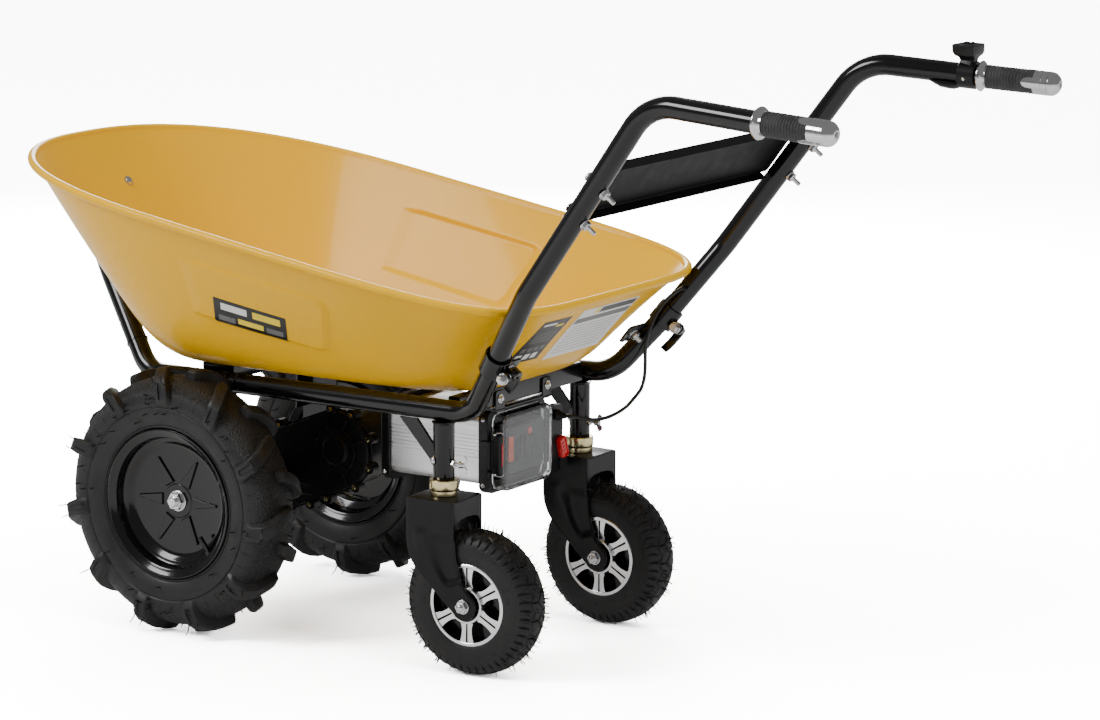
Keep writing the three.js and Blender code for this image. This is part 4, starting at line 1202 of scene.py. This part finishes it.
def make_drive_rim(tag, mirror, body):
    axle = (0, 1, 0)
    outside = [
        (-11, 25), (-11, 82), (-11.6, 84.6), (-13.4, 88.6), (-17, 92.5), (-18.6, 95), (-19.4, 98),
        (-20.8, 99.6),
    ]
    outside += [
        (-24.5, 100.3), (-30, 101), (-34, 103), (-35.8, 106), (-37.6, 110.4), (-39.6, 112.6),
        (-40.2, 114.4), (-39.6, 116),
    ]
    outside += [
        (-38, 116.6), (-36.6, 115.9), (-35.6, 113), (-33.8, 105.8), (-30, 103.8), (-18, 101.2),
        (-10, 92),
    ]
    inside = [
        (10, 92), (18, 101), (33.5, 104), (35.4, 113), (36.6, 115.9), (38, 116.6), (39.6, 116),
        (40.2, 114.4), (39.6, 112.6),
    ]
    inside += [
        (37.6, 110.4), (35.8, 106), (34, 102.6), (30, 100.5), (18.5, 98), (12, 89.5), (11, 87.5),
        (-6, 87.5), (-8, 85), (-8, 25),
    ]
    rim = Solid(revolve(outside + inside, DRIVE_CENTRE, axle, 128, closed=True))
    for k in range(6):
        turn = math.pi / 2 + k * math.pi / 3
        rows = []
        for y, grow in ((-10.6, 1.6), (-12.6, 1.2), (-14, 0)):
            r0, r1, w0, w1 = 30 - grow, 73 + grow * 1.4, 8.2 + grow, 1.2 + grow * 0.8
            row = []
            for r, t in ((r0, -w0), (r1 - 1, -w1), (r1, 0), (r1 - 1, w1), (r0, w0)):
                row.append(at_wheel(DRIVE_CENTRE, turn + math.atan2(t, r), y, math.hypot(r, t)))
            rows.append(row)
        rim.add(loft(rows))
    rim.add(dome_head(at_wheel(DRIVE_CENTRE, math.radians(30), -10.9, 66), (0, -1, 0), 3, 1.8))
    hub = [
        (-6, 10.5), (26, 10.5), (26, 21), (25, 22), (-4, 26), (-8, 27), (-10.8, 27), (-12.2, 25.6),
        (-12.2, 10.5), (-11, 10.3),
    ]
    rim.add(revolve(hub, DRIVE_CENTRE, axle, 64, closed=True))
    valve = ((139, -17, 98), (137.5, -19, 92), (134, -24, 78), (132.4, -26, 71))
    valve = [at_wheel(DRIVE_CENTRE, math.radians(t), y, r) for t, y, r in valve]
    rim.add(sweep(valve[:2], [6, 4.8], 20))
    rim.add(sweep(valve[1:3], [4, 3.6], 20))
    rim.add(sweep(valve[2:], [4.1, 4.1], 12))
    piece(
        tag + "_rim", rim, RIM_BLACK, body, [tag + "_drive_rim"], mirror, bevel=0.3, sharp=38,
        origin=DRIVE_CENTRE,
    )
    spot = np.add(DRIVE_CENTRE, (0, -12.3, 0))
    out = (0, -1, 0)
    shaft = Solid(
        washer(spot, out, 16.5, 2),
        hex_head(spot + (0, -2, 0), out, 25, 8.6),
        screw_thread(spot + (0, -10.6, 0), out, 8.4, 5.1),
        revolve([(0, 0), (0, 3.2), (0.9, 3.2), (0.9, 0)], spot + (0, -15.6, 0), out, 20),
        revolve([(0, 0), (0, 10), (176, 10), (176, 0)], (0, -24, WHEEL_Z), out, 40),
    )
    piece(tag + "_axle_end", shaft, ZINC, body, [tag + "_drive_shaft"], mirror, bevel=0.3)


for tag, mirror in SIDES.items():
    make_drive_wheel(tag, mirror)


# ---- Casters -------------------------------------------------------------------------------
CROWN_HALF, CROWN_TOP = 41.0, 264.0
FORK_ROWS, FORK_COLUMNS = 60, 24
EYE_R = 21  # the round end of a fork leg, about the axle
BLOCKS = 24  # tread blocks round the tyre
TREAD_DEPTH = 2.6
TREAD_SEGMENTS = 432
CASTER_R, CROWN_CURVE = 109.6, 0.0102  # the tyre's radius, and how fast its crown falls away
TREAD_HAIRS, SIDE_HAIRS = 230, 24
LEAST_HAIR_Z = 9  # nearer the ground than this, a tread hair is left out


def leg_edges(v):
    """Front and rear edges of a fork leg from the crown (v 0) to the end of its eye (v 1)."""
    front = [
        (-41, 264), (-41, 236), (-41, 214), (-41, 200), (-39.2, 187), (-34, 172.6), (-25, 159),
        (-10, 144),
    ]
    front += [(6, 129.3), (22.5, 114.2), (39, 99)]
    front += arc(TRAIL, CASTER_Z, EYE_R, 232, 306, 5)
    rear = [
        (41, 264), (41, 240), (41, 220), (41, 205), (41.3, 194), (42.8, 180), (46.4, 163),
        (52.4, 147),
    ]
    rear += [(59, 136), (66.5, 128.4), (73.7, 121.9)]
    rear += arc(TRAIL, CASTER_Z, EYE_R, 28, -53, 5)
    t = v * (len(front) - 1)
    k = min(int(t), len(front) - 2)
    return [
        np.array(side[k]) * (1 - t + k) + np.array(side[k + 1]) * (t - k) for side in (front, rear)
    ]


def soft(t):
    """A smooth step from 0 to 1."""
    t = min(1.0, max(0.0, t))
    return t * t * (3 - 2 * t)


def make_fork(tag, mirror, place):
    fork = Solid()
    for side in (-1, 1):
        rows = []
        for j in range(FORK_ROWS + 1):
            front, rear = leg_edges(j / FORK_ROWS)
            outer, inner = [], []
            for i in range(FORK_COLUMNS + 1):
                u = i / FORK_COLUMNS
                x, z = front * (1 - u) + rear * u
                groove = soft((u - 0.44) / 0.2) * soft((216 - z) / 14)
                groove *= soft((z - 0.35 * x - 124) / 12)
                lobe = soft((u - 0.1) / 0.15) * soft((0.5 - u) / 0.15)
                lobe = lobe * soft((222 - z) / 8) * soft((z - 168) / 34)
                y = CROWN_HALF - 3.6 * groove + 1.6 * lobe
                edge = 0.9 * (1 - soft(min(u, 1 - u) / 0.04))
                outer.append((x, side * (y - edge), z))
                inner.append((x, side * (y - 4 + edge * 0.3 - 1.6 * lobe), z))
            rows.append(outer + inner[::-1])
        fork.add(loft(rows), place)
    rows = []
    for z, inset in ((259.6, 0.4), (262.6, 0), (263.6, 0.4), (CROWN_TOP, 1.4)):
        half = CROWN_HALF - inset
        rows.append([(u, v, z) for u, v in rounded((-half, half), (-half, half), 3, 5)])
    fork.add(loft(rows), place)
    wall = [(40.6, 261.5), (40.6, 206), (37.4, 206), (36, 224), (31, 231), (20, 235)]
    wall = [(-40.6, 261.5)] + wall + [(0, 236.5)] + [(-u, v) for u, v in wall[:0:-1]]
    fork.add(prism(wall, along_x, 37.2, 41), place)
    piece(tag + "_fork", fork, SATIN, tag + "_caster", [tag + "_caster_fork"], mirror, sharp=42)


# Half a caster spoke, as pairs of distance from the axle and across.
SPOKE = [(26.4, 1.2), (57.2, 1.5), (57.2, 12.2), (50, 9.8), (42, 8.4), (34, 8.4), (26.4, 10.6)]


def make_caster_rim(tag, mirror, place, centre, axle):
    body = tag + "_caster_wheel"
    black, bright = Solid(), Solid()
    barrel = [(-30, 57), (-20, 55.4), (-12, 54.6), (-12, 26), (-9, 26)]
    barrel += [(-a, r) for a, r in barrel[::-1]]
    barrel += [(30, 61.6), (20, 58.5), (0, 57.4), (-20, 58.5), (-30, 61.6)]
    black.add(revolve(barrel, centre, axle, 96, closed=True))
    hub = [(-31, 6.6), (-31, 24), (-20, 25.6), (20, 25.6), (31, 24), (31, 6.6)]
    black.add(revolve(hub, centre, axle, 64, closed=True))
    along, up = np.array(place.to_3x3() @ Vector((1, 0, 0))), np.array((0, 0, 1))
    for side in (-1, 1):
        ring = [(28.6, 56.6), (30.4, 56.8), (31, 57.6), (31, 61), (30.2, 62.2), (28.6, 62.4)]
        bright.add(revolve([(side * a, r) for a, r in ring], centre, axle, 96, closed=True))
        cup = [(26, 23.4), (33.4, 23.4), (34, 24), (34, 26.4), (33.2, 27.2), (26, 28)]
        bright.add(revolve([(side * a, r) for a, r in cup], centre, axle, 64, closed=True))
        for k in range(6):
            turn = k * math.pi / 3
            out = along * math.sin(turn) - up * math.cos(turn)
            over = along * math.cos(turn) + up * math.sin(turn)
            for hand in (-1, 1):

                def spoke(u, v, w):
                    return centre + out * u + over * v * hand + axle * w * side

                black.add(prism(SPOKE, spoke, 11, 28.2))
                face = [(u + (0.3 if u < 30 else -0.2), v) for u, v in SPOKE]
                bright.add(prism(face, spoke, 28.2, 29))
    piece(
        tag + "_caster_wheel_black", black, RIM_BLACK, body, [tag + "_caster_rim"], mirror,
        bevel=0.3, sharp=38,
    )
    piece(tag + "_caster_wheel_bright", bright, POLISHED, body, (), mirror, bevel=0.25, sharp=38)


def near(value, target, width):
    """1 on a groove's line and 0 beside it."""
    return 1 - soft((abs(value - target) - width / 2) / 0.9)


def tread_depth(turn, y, r):
    """How deep the tread is cut at a point of the caster tyre."""
    p = (turn * BLOCKS / (2 * math.pi)) % 1.0
    zig = 4 * abs(p - 0.5) - 1
    pitch = 2 * math.pi * r / BLOCKS
    depth = near(y, 6.5 * zig, 1.5)
    for side in (-1, 1):
        depth = max(depth, near(y, side * 17 + 3.2 * zig, 1.3))
    start = 0.0 if y > 0 else 0.5
    across = min(abs(p - start), 1 - abs(p - start)) * pitch
    if 6 < abs(y) < 19:
        depth = max(depth, near(across, 0, 1.5))
    share = abs(y) / 25
    if abs(y) > 19.5 and r > 91:
        q = (2 * p + 0.25 * share) % 1.0
        depth = max(depth, near(min(q, 1 - q) * pitch / 2, 0, 1.8) * soft((r - 91) / 4))
    return TREAD_DEPTH * depth


def make_caster_tyre(tag, mirror, place, centre, axle):
    body = tag + "_caster_wheel"
    wall = [(29, 61), (30.2, 63.4), (31.3, 67), (32, 72), (32.4, 78), (32.3, 83), (31.8, 87.4)]
    wall += [(31.3, 88.4), (31.6, 89.4), (31.2, 91)]
    shoulder = [(30.3, 93.6), (29.2, 96), (27.8, 98.4), (26.2, 100.6), (24.4, 102.5)]
    shoulder += [(22.4, 104.2), (21.2, 105)]
    crown = [(y, CASTER_R - CROWN_CURVE * y * y) for y in np.arange(20, 0.5, -1.0)]
    side = wall + shoulder + crown
    profile = side + [(0, CASTER_R)] + [(-y, r) for y, r in side[::-1]]
    inside = ((-18, 60), (-24, 80), (-14, 98), (14, 98), (24, 80), (18, 60))
    along, up = np.array(place.to_3x3() @ Vector((1, 0, 0))), np.array((0, 0, 1))
    rows = []
    for k in range(TREAD_SEGMENTS):
        turn = 2 * math.pi * k / TREAD_SEGMENTS
        out = along * math.sin(turn) + up * math.cos(turn)
        row = []
        for y, r in profile:
            depth = tread_depth(turn, y, r) if r > 90 else 0
            share = 0.5 if abs(y) > 24 else 0
            row.append(centre + axle * y * (1 - depth * share / 32) + out * (r - depth))
        row += [centre + axle * y + out * r for y, r in inside]
        rows.append(row)
    tyre = Solid(loft(rows, loop=True))
    piece(tag + "_roller_tyre", tyre, CASTER_RUBBER, body, [tag + "_caster_tyre"], mirror, sharp=48)
    hairs = Solid()
    for k in range(TREAD_HAIRS):
        turn = rng.uniform(0, 2 * math.pi)
        y = rng.choice((-27, -24, -12, -9, -4, 4, 9, 12, 24, 27)) + rng.uniform(-1, 1)
        r = CASTER_R - CROWN_CURVE * y * y - (0 if abs(y) < 22 else TREAD_DEPTH)
        out = along * math.sin(turn) + up * math.cos(turn)
        spot = centre + axle * y + out * (r - 0.6)
        if spot[2] > LEAST_HAIR_Z:
            hair(hairs, spot, out + axle * rng.uniform(-0.25, 0.25), rng.uniform(7, 11), 0.9)
    for k in range(SIDE_HAIRS):
        turn, sign = rng.uniform(0, 2 * math.pi), rng.choice((-1, 1))
        out = along * math.sin(turn) + up * math.cos(turn)
        spot = centre + axle * sign * 32 + out * rng.uniform(70, 86)
        hair(hairs, spot, axle * sign + out * rng.uniform(-0.8, 0.8), 3.2, 0.6)
    piece(tag + "_roller_hairs", hairs, CASTER_RUBBER, body, (), mirror)


def make_caster(tag, mirror):
    place = Matrix.Translation((STEM[0], STEM[1], 0)) @ Matrix.Rotation(
        math.radians(SWIVEL[tag]), 4, "Z",
    )
    centre = np.array(place @ Vector((TRAIL, 0, CASTER_Z)))
    axle = np.array(place.to_3x3() @ Vector((0, 1, 0)))
    make_fork(tag, mirror, place)
    make_caster_rim(tag, mirror, place, centre, axle)
    make_caster_tyre(tag, mirror, place, centre, axle)
    bolt = Solid(revolve([(-50, 0), (-50, 6), (50, 6), (50, 0)], centre, axle, 24))
    for side in (-1, 1):
        way = axle * side
        bolt.add(washer(centre + way * (CROWN_HALF + 0.2), way, 11, 1.6))
        bolt.add(hex_head(centre + way * (CROWN_HALF + 1.8), way, 17, 6.4))
        bolt.add(dome_head(centre + way * (CROWN_HALF + 8), way, 6.2, 4.2))
    piece(
        tag + "_roller_bolt", bolt, ZINC, tag + "_caster", [tag + "_caster_axle"], mirror,
        bevel=0.3,
    )


for tag, mirror in SIDES.items():
    make_caster(tag, mirror)


# ---- Throttle on the right grip ------------------------------------------------------------
# Each pair is a place along the thumb lever and its radius there.
LEVER_LEVELS = [
    (26.4, 20.5), (27.4, 22.2), (33, 24), (42, 24.2), (54, 23), (63, 20.2), (69, 17.4), (70.3, 17.1),
]


def make_throttle():
    back = towards(GRIP_START, HANDLE_CORNER, 4)
    way = unit(np.subtract(HANDLE_CORNER, GRIP_START))
    ring = [(0, 16.4), (0, 20), (1, 21), (25, 21), (26, 20), (26, 16.4)]
    body = Solid(revolve(ring, back, way, 64, closed=True))
    rows = []
    for z, x0, x1, y0, y1, r in (
        (894, 1034, 1058, -334, -310, 4), (901, 1035, 1058, -331, -313, 4),
        (905.5, 1034, 1059, -334, -310, 4), (908.5, 1031, 1061, -340, -304, 2.5),
        (913, 1028, 1062.4, -342.4, -302.4, 2), (924, 1027, 1062, -343, -302, 2),
        (925, 1028, 1061, -342, -303, 2), (925, 1037.2, 1054.8, -328.6, -315.4, 1),
        (919.4, 1037.2, 1054.8, -328.6, -315.4, 1),
    ):
        rows.append([(u, v, z) for u, v in rounded((x0, x1), (y0, y1), r, 4)])
    body.add(loft(rows))
    piece("throttle_case", body, PLASTIC, "frame", ["throttle_body"], -1, bevel=0.4)
    screws = Solid()
    for out in ((0, 1, -0.25), (0, -1, 0)):
        screws.add(dome_head(back + way * 13 + unit(out) * 20.4, out, 2.8, 1.6))
    piece("throttle_screws", screws, ZINC, "frame", (), -1)
    down = unit(np.array((0, 0, -1)) - way * (-way[2]))
    out = np.cross(way, down)

    def on_lever(a, t, r):
        return back + way * a + (down * math.cos(t) + out * math.sin(t)) * r

    wide, inner_r = 0.75, 16.6
    turns = np.linspace(-wide, wide, 15)
    rows = []
    for a, r in LEVER_LEVELS:
        outer = [inner_r + (r - inner_r) * (1 - 0.22 * (abs(t) / wide) ** 6) for t in turns]
        row = [on_lever(a, t, reach) for t, reach in zip(turns, outer)]
        rows.append(row + [on_lever(a, t, inner_r) for t in turns[::-1]])
    lever = Solid(loft(rows))
    for a in range(34, 58, 4):
        r = 24.0 - 0.004 * (a - 38) ** 2
        lever.add(sweep([on_lever(a, t, r) for t in np.linspace(-0.5, 0.5, 9)], 0.6, 8))
    piece(
        "thumb_lever", lever, PLASTIC, "throttle_thumb", ["throttle_lever"], -1, bevel=0.5,
        sharp=45,
    )
    rocker = [(1038.6, 922), (1053.4, 922), (1053.4, 926), (1051, 928.2), (1046, 926.6)]
    rocker += [(1041, 928.2), (1038.6, 926)]
    switch = Solid(prism(rocker, along_y, -327.8, -316.2))
    piece("rocker", switch, PLASTIC, "direction_rocker", ["direction_switch"], -1, bevel=0.5)


make_throttle()


# ---- Controller and battery box ------------------------------------------------------------
BOX_X = (282.3, 445.7)
GROOVES = [299 + 5.6 * k for k in range(7)]  # heights of the fine grooves along the housing
COVER_FRONT, COVER_REAR, COVER_INSIDE = 462.5, 484, 481.4  # the last is its wall's inner face
COVER_HALF, COVER_Z = 67, (248, 366)
COVER_HINGE = (463, 67)
# Each row: x, growth of the outline and corner radius, from the inner face round to the outer.
COVER_LEVELS = [
    (COVER_INSIDE, -8, 7), (COVER_INSIDE, -4.8, 10), (480, -3, 12.6), (464, -2.6, 13),
    (COVER_FRONT, -2.6, 13), (COVER_FRONT, 0.4, 16), (464.6, 0.4, 16), (465.2, 0, 16),
    (480, 0, 16), (482.6, -0.8, 15), (COVER_REAR, -3, 12.6), (COVER_REAR, -7, 8.6),
]
LATCH_PIN = (470.5, -72.6)


def housing_outline():
    """The housing's round-cornered section with its grooves, in Y and Z."""
    steps = 8
    outline = rounded((-75, 75), (256, 364), 12, steps)
    cuts = []
    for z in GROOVES:
        cuts += [(75, z - 1.1), (73.7, z - 0.7), (73.7, z + 0.7), (75, z + 1.1)]
    first, third = steps + 1, 3 * (steps + 1)
    left = [(-u, v) for u, v in cuts[::-1]]
    return outline[:first] + cuts + outline[first:third] + left + outline[third:]


def rim_of(outer, inner, x0, x1):
    """A hoop between two outlines with the same number of points."""
    rows = [
        [(x, u, v) for u, v in side]
        for x, side in ((x0, outer), (x1, outer), (x1, inner), (x0, inner))
    ]
    return loft(rows, loop=True)


def make_box():
    outline = housing_outline()
    inside = [(u * 71 / 75, 310 + (v - 310) * 50 / 54) for u, v in outline]
    piece(
        "housing", Solid(rim_of(outline, inside, *BOX_X)), ALUMINIUM, "frame",
        ["controller_housing"], sharp=30,
    )
    levels = ((282, 0), (270, 0), (267.5, -0.8), (266, -3))
    cap = Solid(swollen((-80, 80), (244, 372), 15, levels, 8))
    for k in range(5):
        z = 272 + 18 * k
        cap.add(prism(rounded((-58, 58), (z - 3, z + 3), 2.5, 4), along_x, 264.6, 266.4))
    piece("front_cap", cap, SATIN, "frame", ["box_front_cap"], sharp=40)
    outer, inner = rounded((-80, 80), (244, 372), 16, 8), rounded((-62, 62), (264, 352), 7, 8)
    back = Solid(
        rim_of(outer, inner, 446, 462.2),
        prism(rounded((76, 130), (266, 350), 6, 5), along_x, 447, 461.6),
        prism(rounded((98, 128), (246, 268), 3, 4), along_x, 449, 459),
    )
    piece("rear_frame", back, PLASTIC, "frame", ["box_rear_frame"], bevel=0.8)
    screws = Solid()
    for x in (274, 454):
        for z in (258, 358):
            for side in (-1, 1):
                screws.add(dome_head((x, side * 80, z), (0, side, 0), 3.4, 2))
    piece("box_screws", screws, ZINC, "frame")
    make_hanger()
    make_battery()
    make_cover()


def make_hanger():
    straps = Solid()
    for y in (-64, 64):
        straps.add(prism(rounded((y - 12, y + 12), (371, 403.5), 4, 5), along_x, 472.3, 475.3))
    straps.add(prism(rounded((448, 475.3), (372.8, 376.3), 1, 3), along_y, -76, 76))
    piece("hanger", straps, BLACK, "frame", ["box_hanger"], bevel=0.5)
    bolts = Solid()
    for y in (-64.5, 64.5):
        bolts.add(washer((475.4, y, 391), (1, 0, 0), 7, 1.2))
        bolts.add(dome_head((476.6, y, 391), (1, 0, 0), 5.2, 3))
        bolts.add(hex_head((476.4, y, 391), (1, 0, 0), 6, 3.6))
    piece("hanger_bolts", bolts, ZINC, "frame")


def make_battery():
    levels = ((326, -2), (328, 0), (470, 0), (472, -0.8), (473.4, -3))
    face_levels = ((472.6, 0), (475, 0), (476.4, -1.6))
    pack = Solid(
        swollen((-56, 56), (268, 346), 8, levels, 6),
        swollen((-47, 37), (270, 344), 9, face_levels, 6),
    )
    for y, low, high in ((-21, 288, 324), (-9.5, 286, 327), (2, 288, 324)):
        pack.add(prism(rounded((y - 3.6, y + 3.6), (low, high), 3.4, 5), along_x, 476, 477.6))
    pack.add(prism(rounded((19, 31), (284, 306), 2, 4), along_x, 476, 477.2))
    piece("battery", pack, BATTERY, "frame", ["battery_pack"], bevel=0.4, sharp=40)
    button = revolve(
        [(0, 0), (0, 6), (3.4, 6), (4.3, 5), (4.5, 0)], (473.2, 12, 330), (1, 0, 0), 40,
    )
    piece("release_button", Solid(button), RED, "button", ["battery_button"])
    strip = Solid(prism(rounded((-47, -35), (291, 329), 1.2, 3), along_x, 476.3, 478.4))
    piece("battery_strip", strip, ORANGE, "frame", bevel=0.3)


def make_cover():
    rows = []
    for x, grow, r in COVER_LEVELS:
        y, z = (-COVER_HALF - grow, COVER_HALF + grow), (COVER_Z[0] - grow, COVER_Z[1] + grow)
        rows.append([(x, u, v) for u, v in rounded(y, z, r, 9)])
    piece("cover_shell", Solid(loft(rows)), CLEAR, "cover", ["battery_cover"], sharp=40)
    hinge = Solid()
    for z in (268, 276, 336, 344):
        hinge.add(
            revolve([(0, 0), (0, 3.4), (6.6, 3.4), (6.6, 0)], (*COVER_HINGE, z), (0, 0, 1), 20),
        )
    piece("cover_hinge", hinge, CLEAR, "cover")
    pins = Solid()
    for z in (265, 333):
        pins.add(revolve([(0, 0), (0, 1.6), (21, 1.6), (21, 0)], (*COVER_HINGE, z), (0, 0, 1), 14))
    piece("hinge_pins", pins, ZINC, "frame")
    latch = Solid()
    hook = [(466.4, -68.3), (466.4, -73.8), (468.6, -76.3), (476, -76.3), (480.4, -74.6)]
    hook += [(482, -71.4), (481.6, -68.3), (478, -70.4), (470, -70.8)]
    tongue = [(451, -84.8), (466, -84.8), (468, -83), (468, -77), (472, -75.4), (472, -73.4)]
    tongue += [(466.4, -73.6), (464, -80.9), (451, -81.2)]
    for outline, low, high in ((hook, 277, 335), (tongue, 285, 327)):
        latch.add(prism(outline, along_z, low, high))
    piece("latch_hook", latch, PLASTIC, "latch", ["cover_latch"], bevel=0.6)
    red = Solid(prism(rounded((477.6, 482.8), (288, 323), 1, 3), along_y, -70.6, -68.4))
    piece("latch_strip", red, RED, "latch", bevel=0.3)
    pins = Solid()
    for z, sign in ((277.4, -1), (334.6, 1)):
        head = [(0, 0), (0, 2.2), (3, 2.2), (3.6, 1.6), (3.6, 0)]
        pins.add(revolve(head, (*LATCH_PIN, z), (0, 0, sign), 20))
        wire = ((*LATCH_PIN, 2), (474, -70.5, 4.5), (479, -67.6, 5), (482.4, -65.5, 1.5))
        wire = [(x, y, z + sign * rise) for x, y, rise in wire]
        pins.add(sweep(bent(wire, 3, 5), 1.1, 12))
    piece("latch_pins", pins, ZINC, "latch")


KEY_AT, KEY_TURN = (462.5, 122, 284), 0.3


def make_key():
    turn = Matrix.Translation(KEY_AT) @ Matrix.Rotation(KEY_TURN, 4, "X")
    levels = ((0, 0), (6.6, 0), (8.6, -1), (9, -2), (9, -3.2), (7.2, -3.8))
    key = Solid()
    key.add(swollen((-9, 9), (-17, 17), 5, levels, 6), turn)
    for v in (-6, 0, 6):
        key.add(prism(rounded((-3.4, 3.4), (v - 1.2, v + 1.2), 1, 3), along_x, 7, 8.4), turn)
    piece("isolator", key, RED, "key", ["isolator_key"], sharp=45)
    seat_at = (KEY_AT[0] - 0.1, *KEY_AT[1:])
    seat = revolve([(-0.8, 0), (-0.8, 12), (0, 11.4), (0, 0)], seat_at, (1, 0, 0), 40)
    piece("isolator_seat", Solid(seat), PLASTIC, "frame")


make_box()
make_key()


# ---- Gearbox, motor and controller ---------------------------------------------------------
AXLE_AT, MOTOR_AT = np.array((0.0, WHEEL_Z)), np.array((165.0, 273.0))
CASE_FACE, CASE_BACK = -55, 15  # the case's two sides, in Y
BOLT_REACH = {"axle": 66, "motor": 64}  # from the axle's and the motor's middle to the case bolts


def in_side_view(x, z):
    """A point of the middle plane."""
    return np.array((x, 0, z))


def star(centre, count, first, outline, low, high):
    """Equal ribs round a centre in X and Z; outline has pairs of distance outward and across."""
    ribs = []
    for k in range(count):
        t = 2 * math.pi * (k + first) / count
        out, over = in_side_view(math.cos(t), math.sin(t)), in_side_view(-math.sin(t), math.cos(t))

        def place(u, v, w):
            return in_side_view(*centre) + out * u + over * v + np.array((0, w, 0))

        ribs.append(prism(outline, place, low, high))
    return ribs


def spots_round(centre, r, degrees):
    turns = [math.radians(t) for t in degrees]
    return [centre + r * np.array((math.cos(t), math.sin(t))) for t in turns]


def pear(small, large, steps=14):
    """The outline round the axle's and the motor's circles, in X and Z."""
    way = MOTOR_AT - AXLE_AT
    reach = float(np.linalg.norm(way))
    base = math.degrees(math.atan2(way[1], way[0]))
    lean = math.degrees(math.acos((small - large) / reach))
    outline = arc(*AXLE_AT, small, base + lean, base + 360 - lean, steps * 2)
    return outline + arc(*MOTOR_AT, large, base - lean, base + lean, steps * 2)


def make_gearbox():
    rows = []
    for y, grow in (
        (CASE_BACK, -4), (11, 0), (-38, 0), (-38.5, 4), (-47.5, 4), (-48, 1), (-54, 0),
        (CASE_FACE, -4),
    ):
        rows.append([(u, y, v) for u, v in pear(62 + grow, 60 + grow)])
    case = Solid(loft(rows))
    for centre, r in ((AXLE_AT, 40), (MOTOR_AT, 38)):
        hub = [(0, 0), (0, r), (4, r - 1.5), (4, r * 0.62), (7.5, r * 0.55), (7.5, 0)]
        case.add(revolve(hub, (centre[0], -54.5, centre[1]), (0, -1, 0), 48))
        rib = [(r * 0.6, -1.6), (r + 14, -1.2), (r + 14, 1.2), (r * 0.6, 1.6)]
        for shape in star(centre, 8, 0.5, rib, -58, -54):
            case.add(shape)
    for side, start, length in ((-1, CASE_FACE, 112), (1, CASE_BACK, 152)):
        tube = [(0, 34), (14, 29), (20, 27.2), (length, 27.2), (length, 10.4), (0, 10.4)]
        case.add(revolve(tube, (0, start, WHEEL_Z), (0, side, 0), 48, closed=True))
    bolts = Solid()
    way = unit(MOTOR_AT - AXLE_AT)
    normal = np.array((-way[1], way[0]))
    spots = spots_round(AXLE_AT, BOLT_REACH["axle"], (125, 170, 215, 260))
    spots += spots_round(MOTOR_AT, BOLT_REACH["motor"], (-58, -20, 22, 65, 100))
    for sign, distances in ((-1, (45, 95, 130)), (1, (30, 85))):
        spots += [AXLE_AT + way * d + sign * normal * BOLT_REACH["axle"] for d in distances]
    for spot in spots:
        at = np.array((spot[0], -49, spot[1]))
        case.add(revolve([(-5, 0), (-5, 9), (11, 9), (11, 0)], at, (0, 1, 0), 24))
        bolts.add(hex_head(at + (0, -5, 0), (0, -1, 0), 7, 4.4))
    piece("gear_case", case, CAST_BLACK, "frame", ["gearbox_housing"], bevel=0.6, sharp=38)
    piece("gear_case_bolts", bolts, GOLD_ZINC, "frame")
    profile = [
        (0, 0), (0, 54), (1.5, 56), (10, 56), (10.6, 55), (12, 55), (12.6, 56), (94, 56), (96, 54),
        (96.4, 48.5),
    ]
    profile += [(98, 48), (122, 46.4), (126, 44), (127, 40), (130.4, 39), (131, 36), (131, 0)]
    fin = [(54, -1.2), (58.6, -0.8), (58.6, 0.8), (54, 1.2)]
    x, z = MOTOR_AT
    start = (x, CASE_BACK + 0.3, z)
    motor = Solid(revolve(profile, start, (0, 1, 0), 72), *star(MOTOR_AT, 18, 0, fin, 30, 106))
    piece("motor", motor, CAST_BLACK, "frame", ["drive_motor"], bevel=0.4, sharp=38)
    controller = Solid(prism(rounded((-64, 64), (266, 352), 4, 4), along_x, 290, 322))
    piece("controller", controller, PLASTIC, "frame", ["motor_controller"], bevel=1)


def make_spindles():
    for tag, mirror in SIDES.items():
        shaft = [(264.1, 0), (264.1, 12), (350, 12), (352, 10.5), (352, 0)]
        spindle = Solid(revolve(shaft, (STEM[0], STEM[1], 0), (0, 0, 1), 40))
        piece(
            tag + "_spindle_pin", spindle, ZINC, tag + "_caster", [tag + "_caster_spindle"], mirror,
        )


make_gearbox()
make_spindles()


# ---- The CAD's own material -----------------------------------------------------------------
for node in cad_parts.values():
    node.data.materials.clear()
    node.data.materials.append(SATIN)
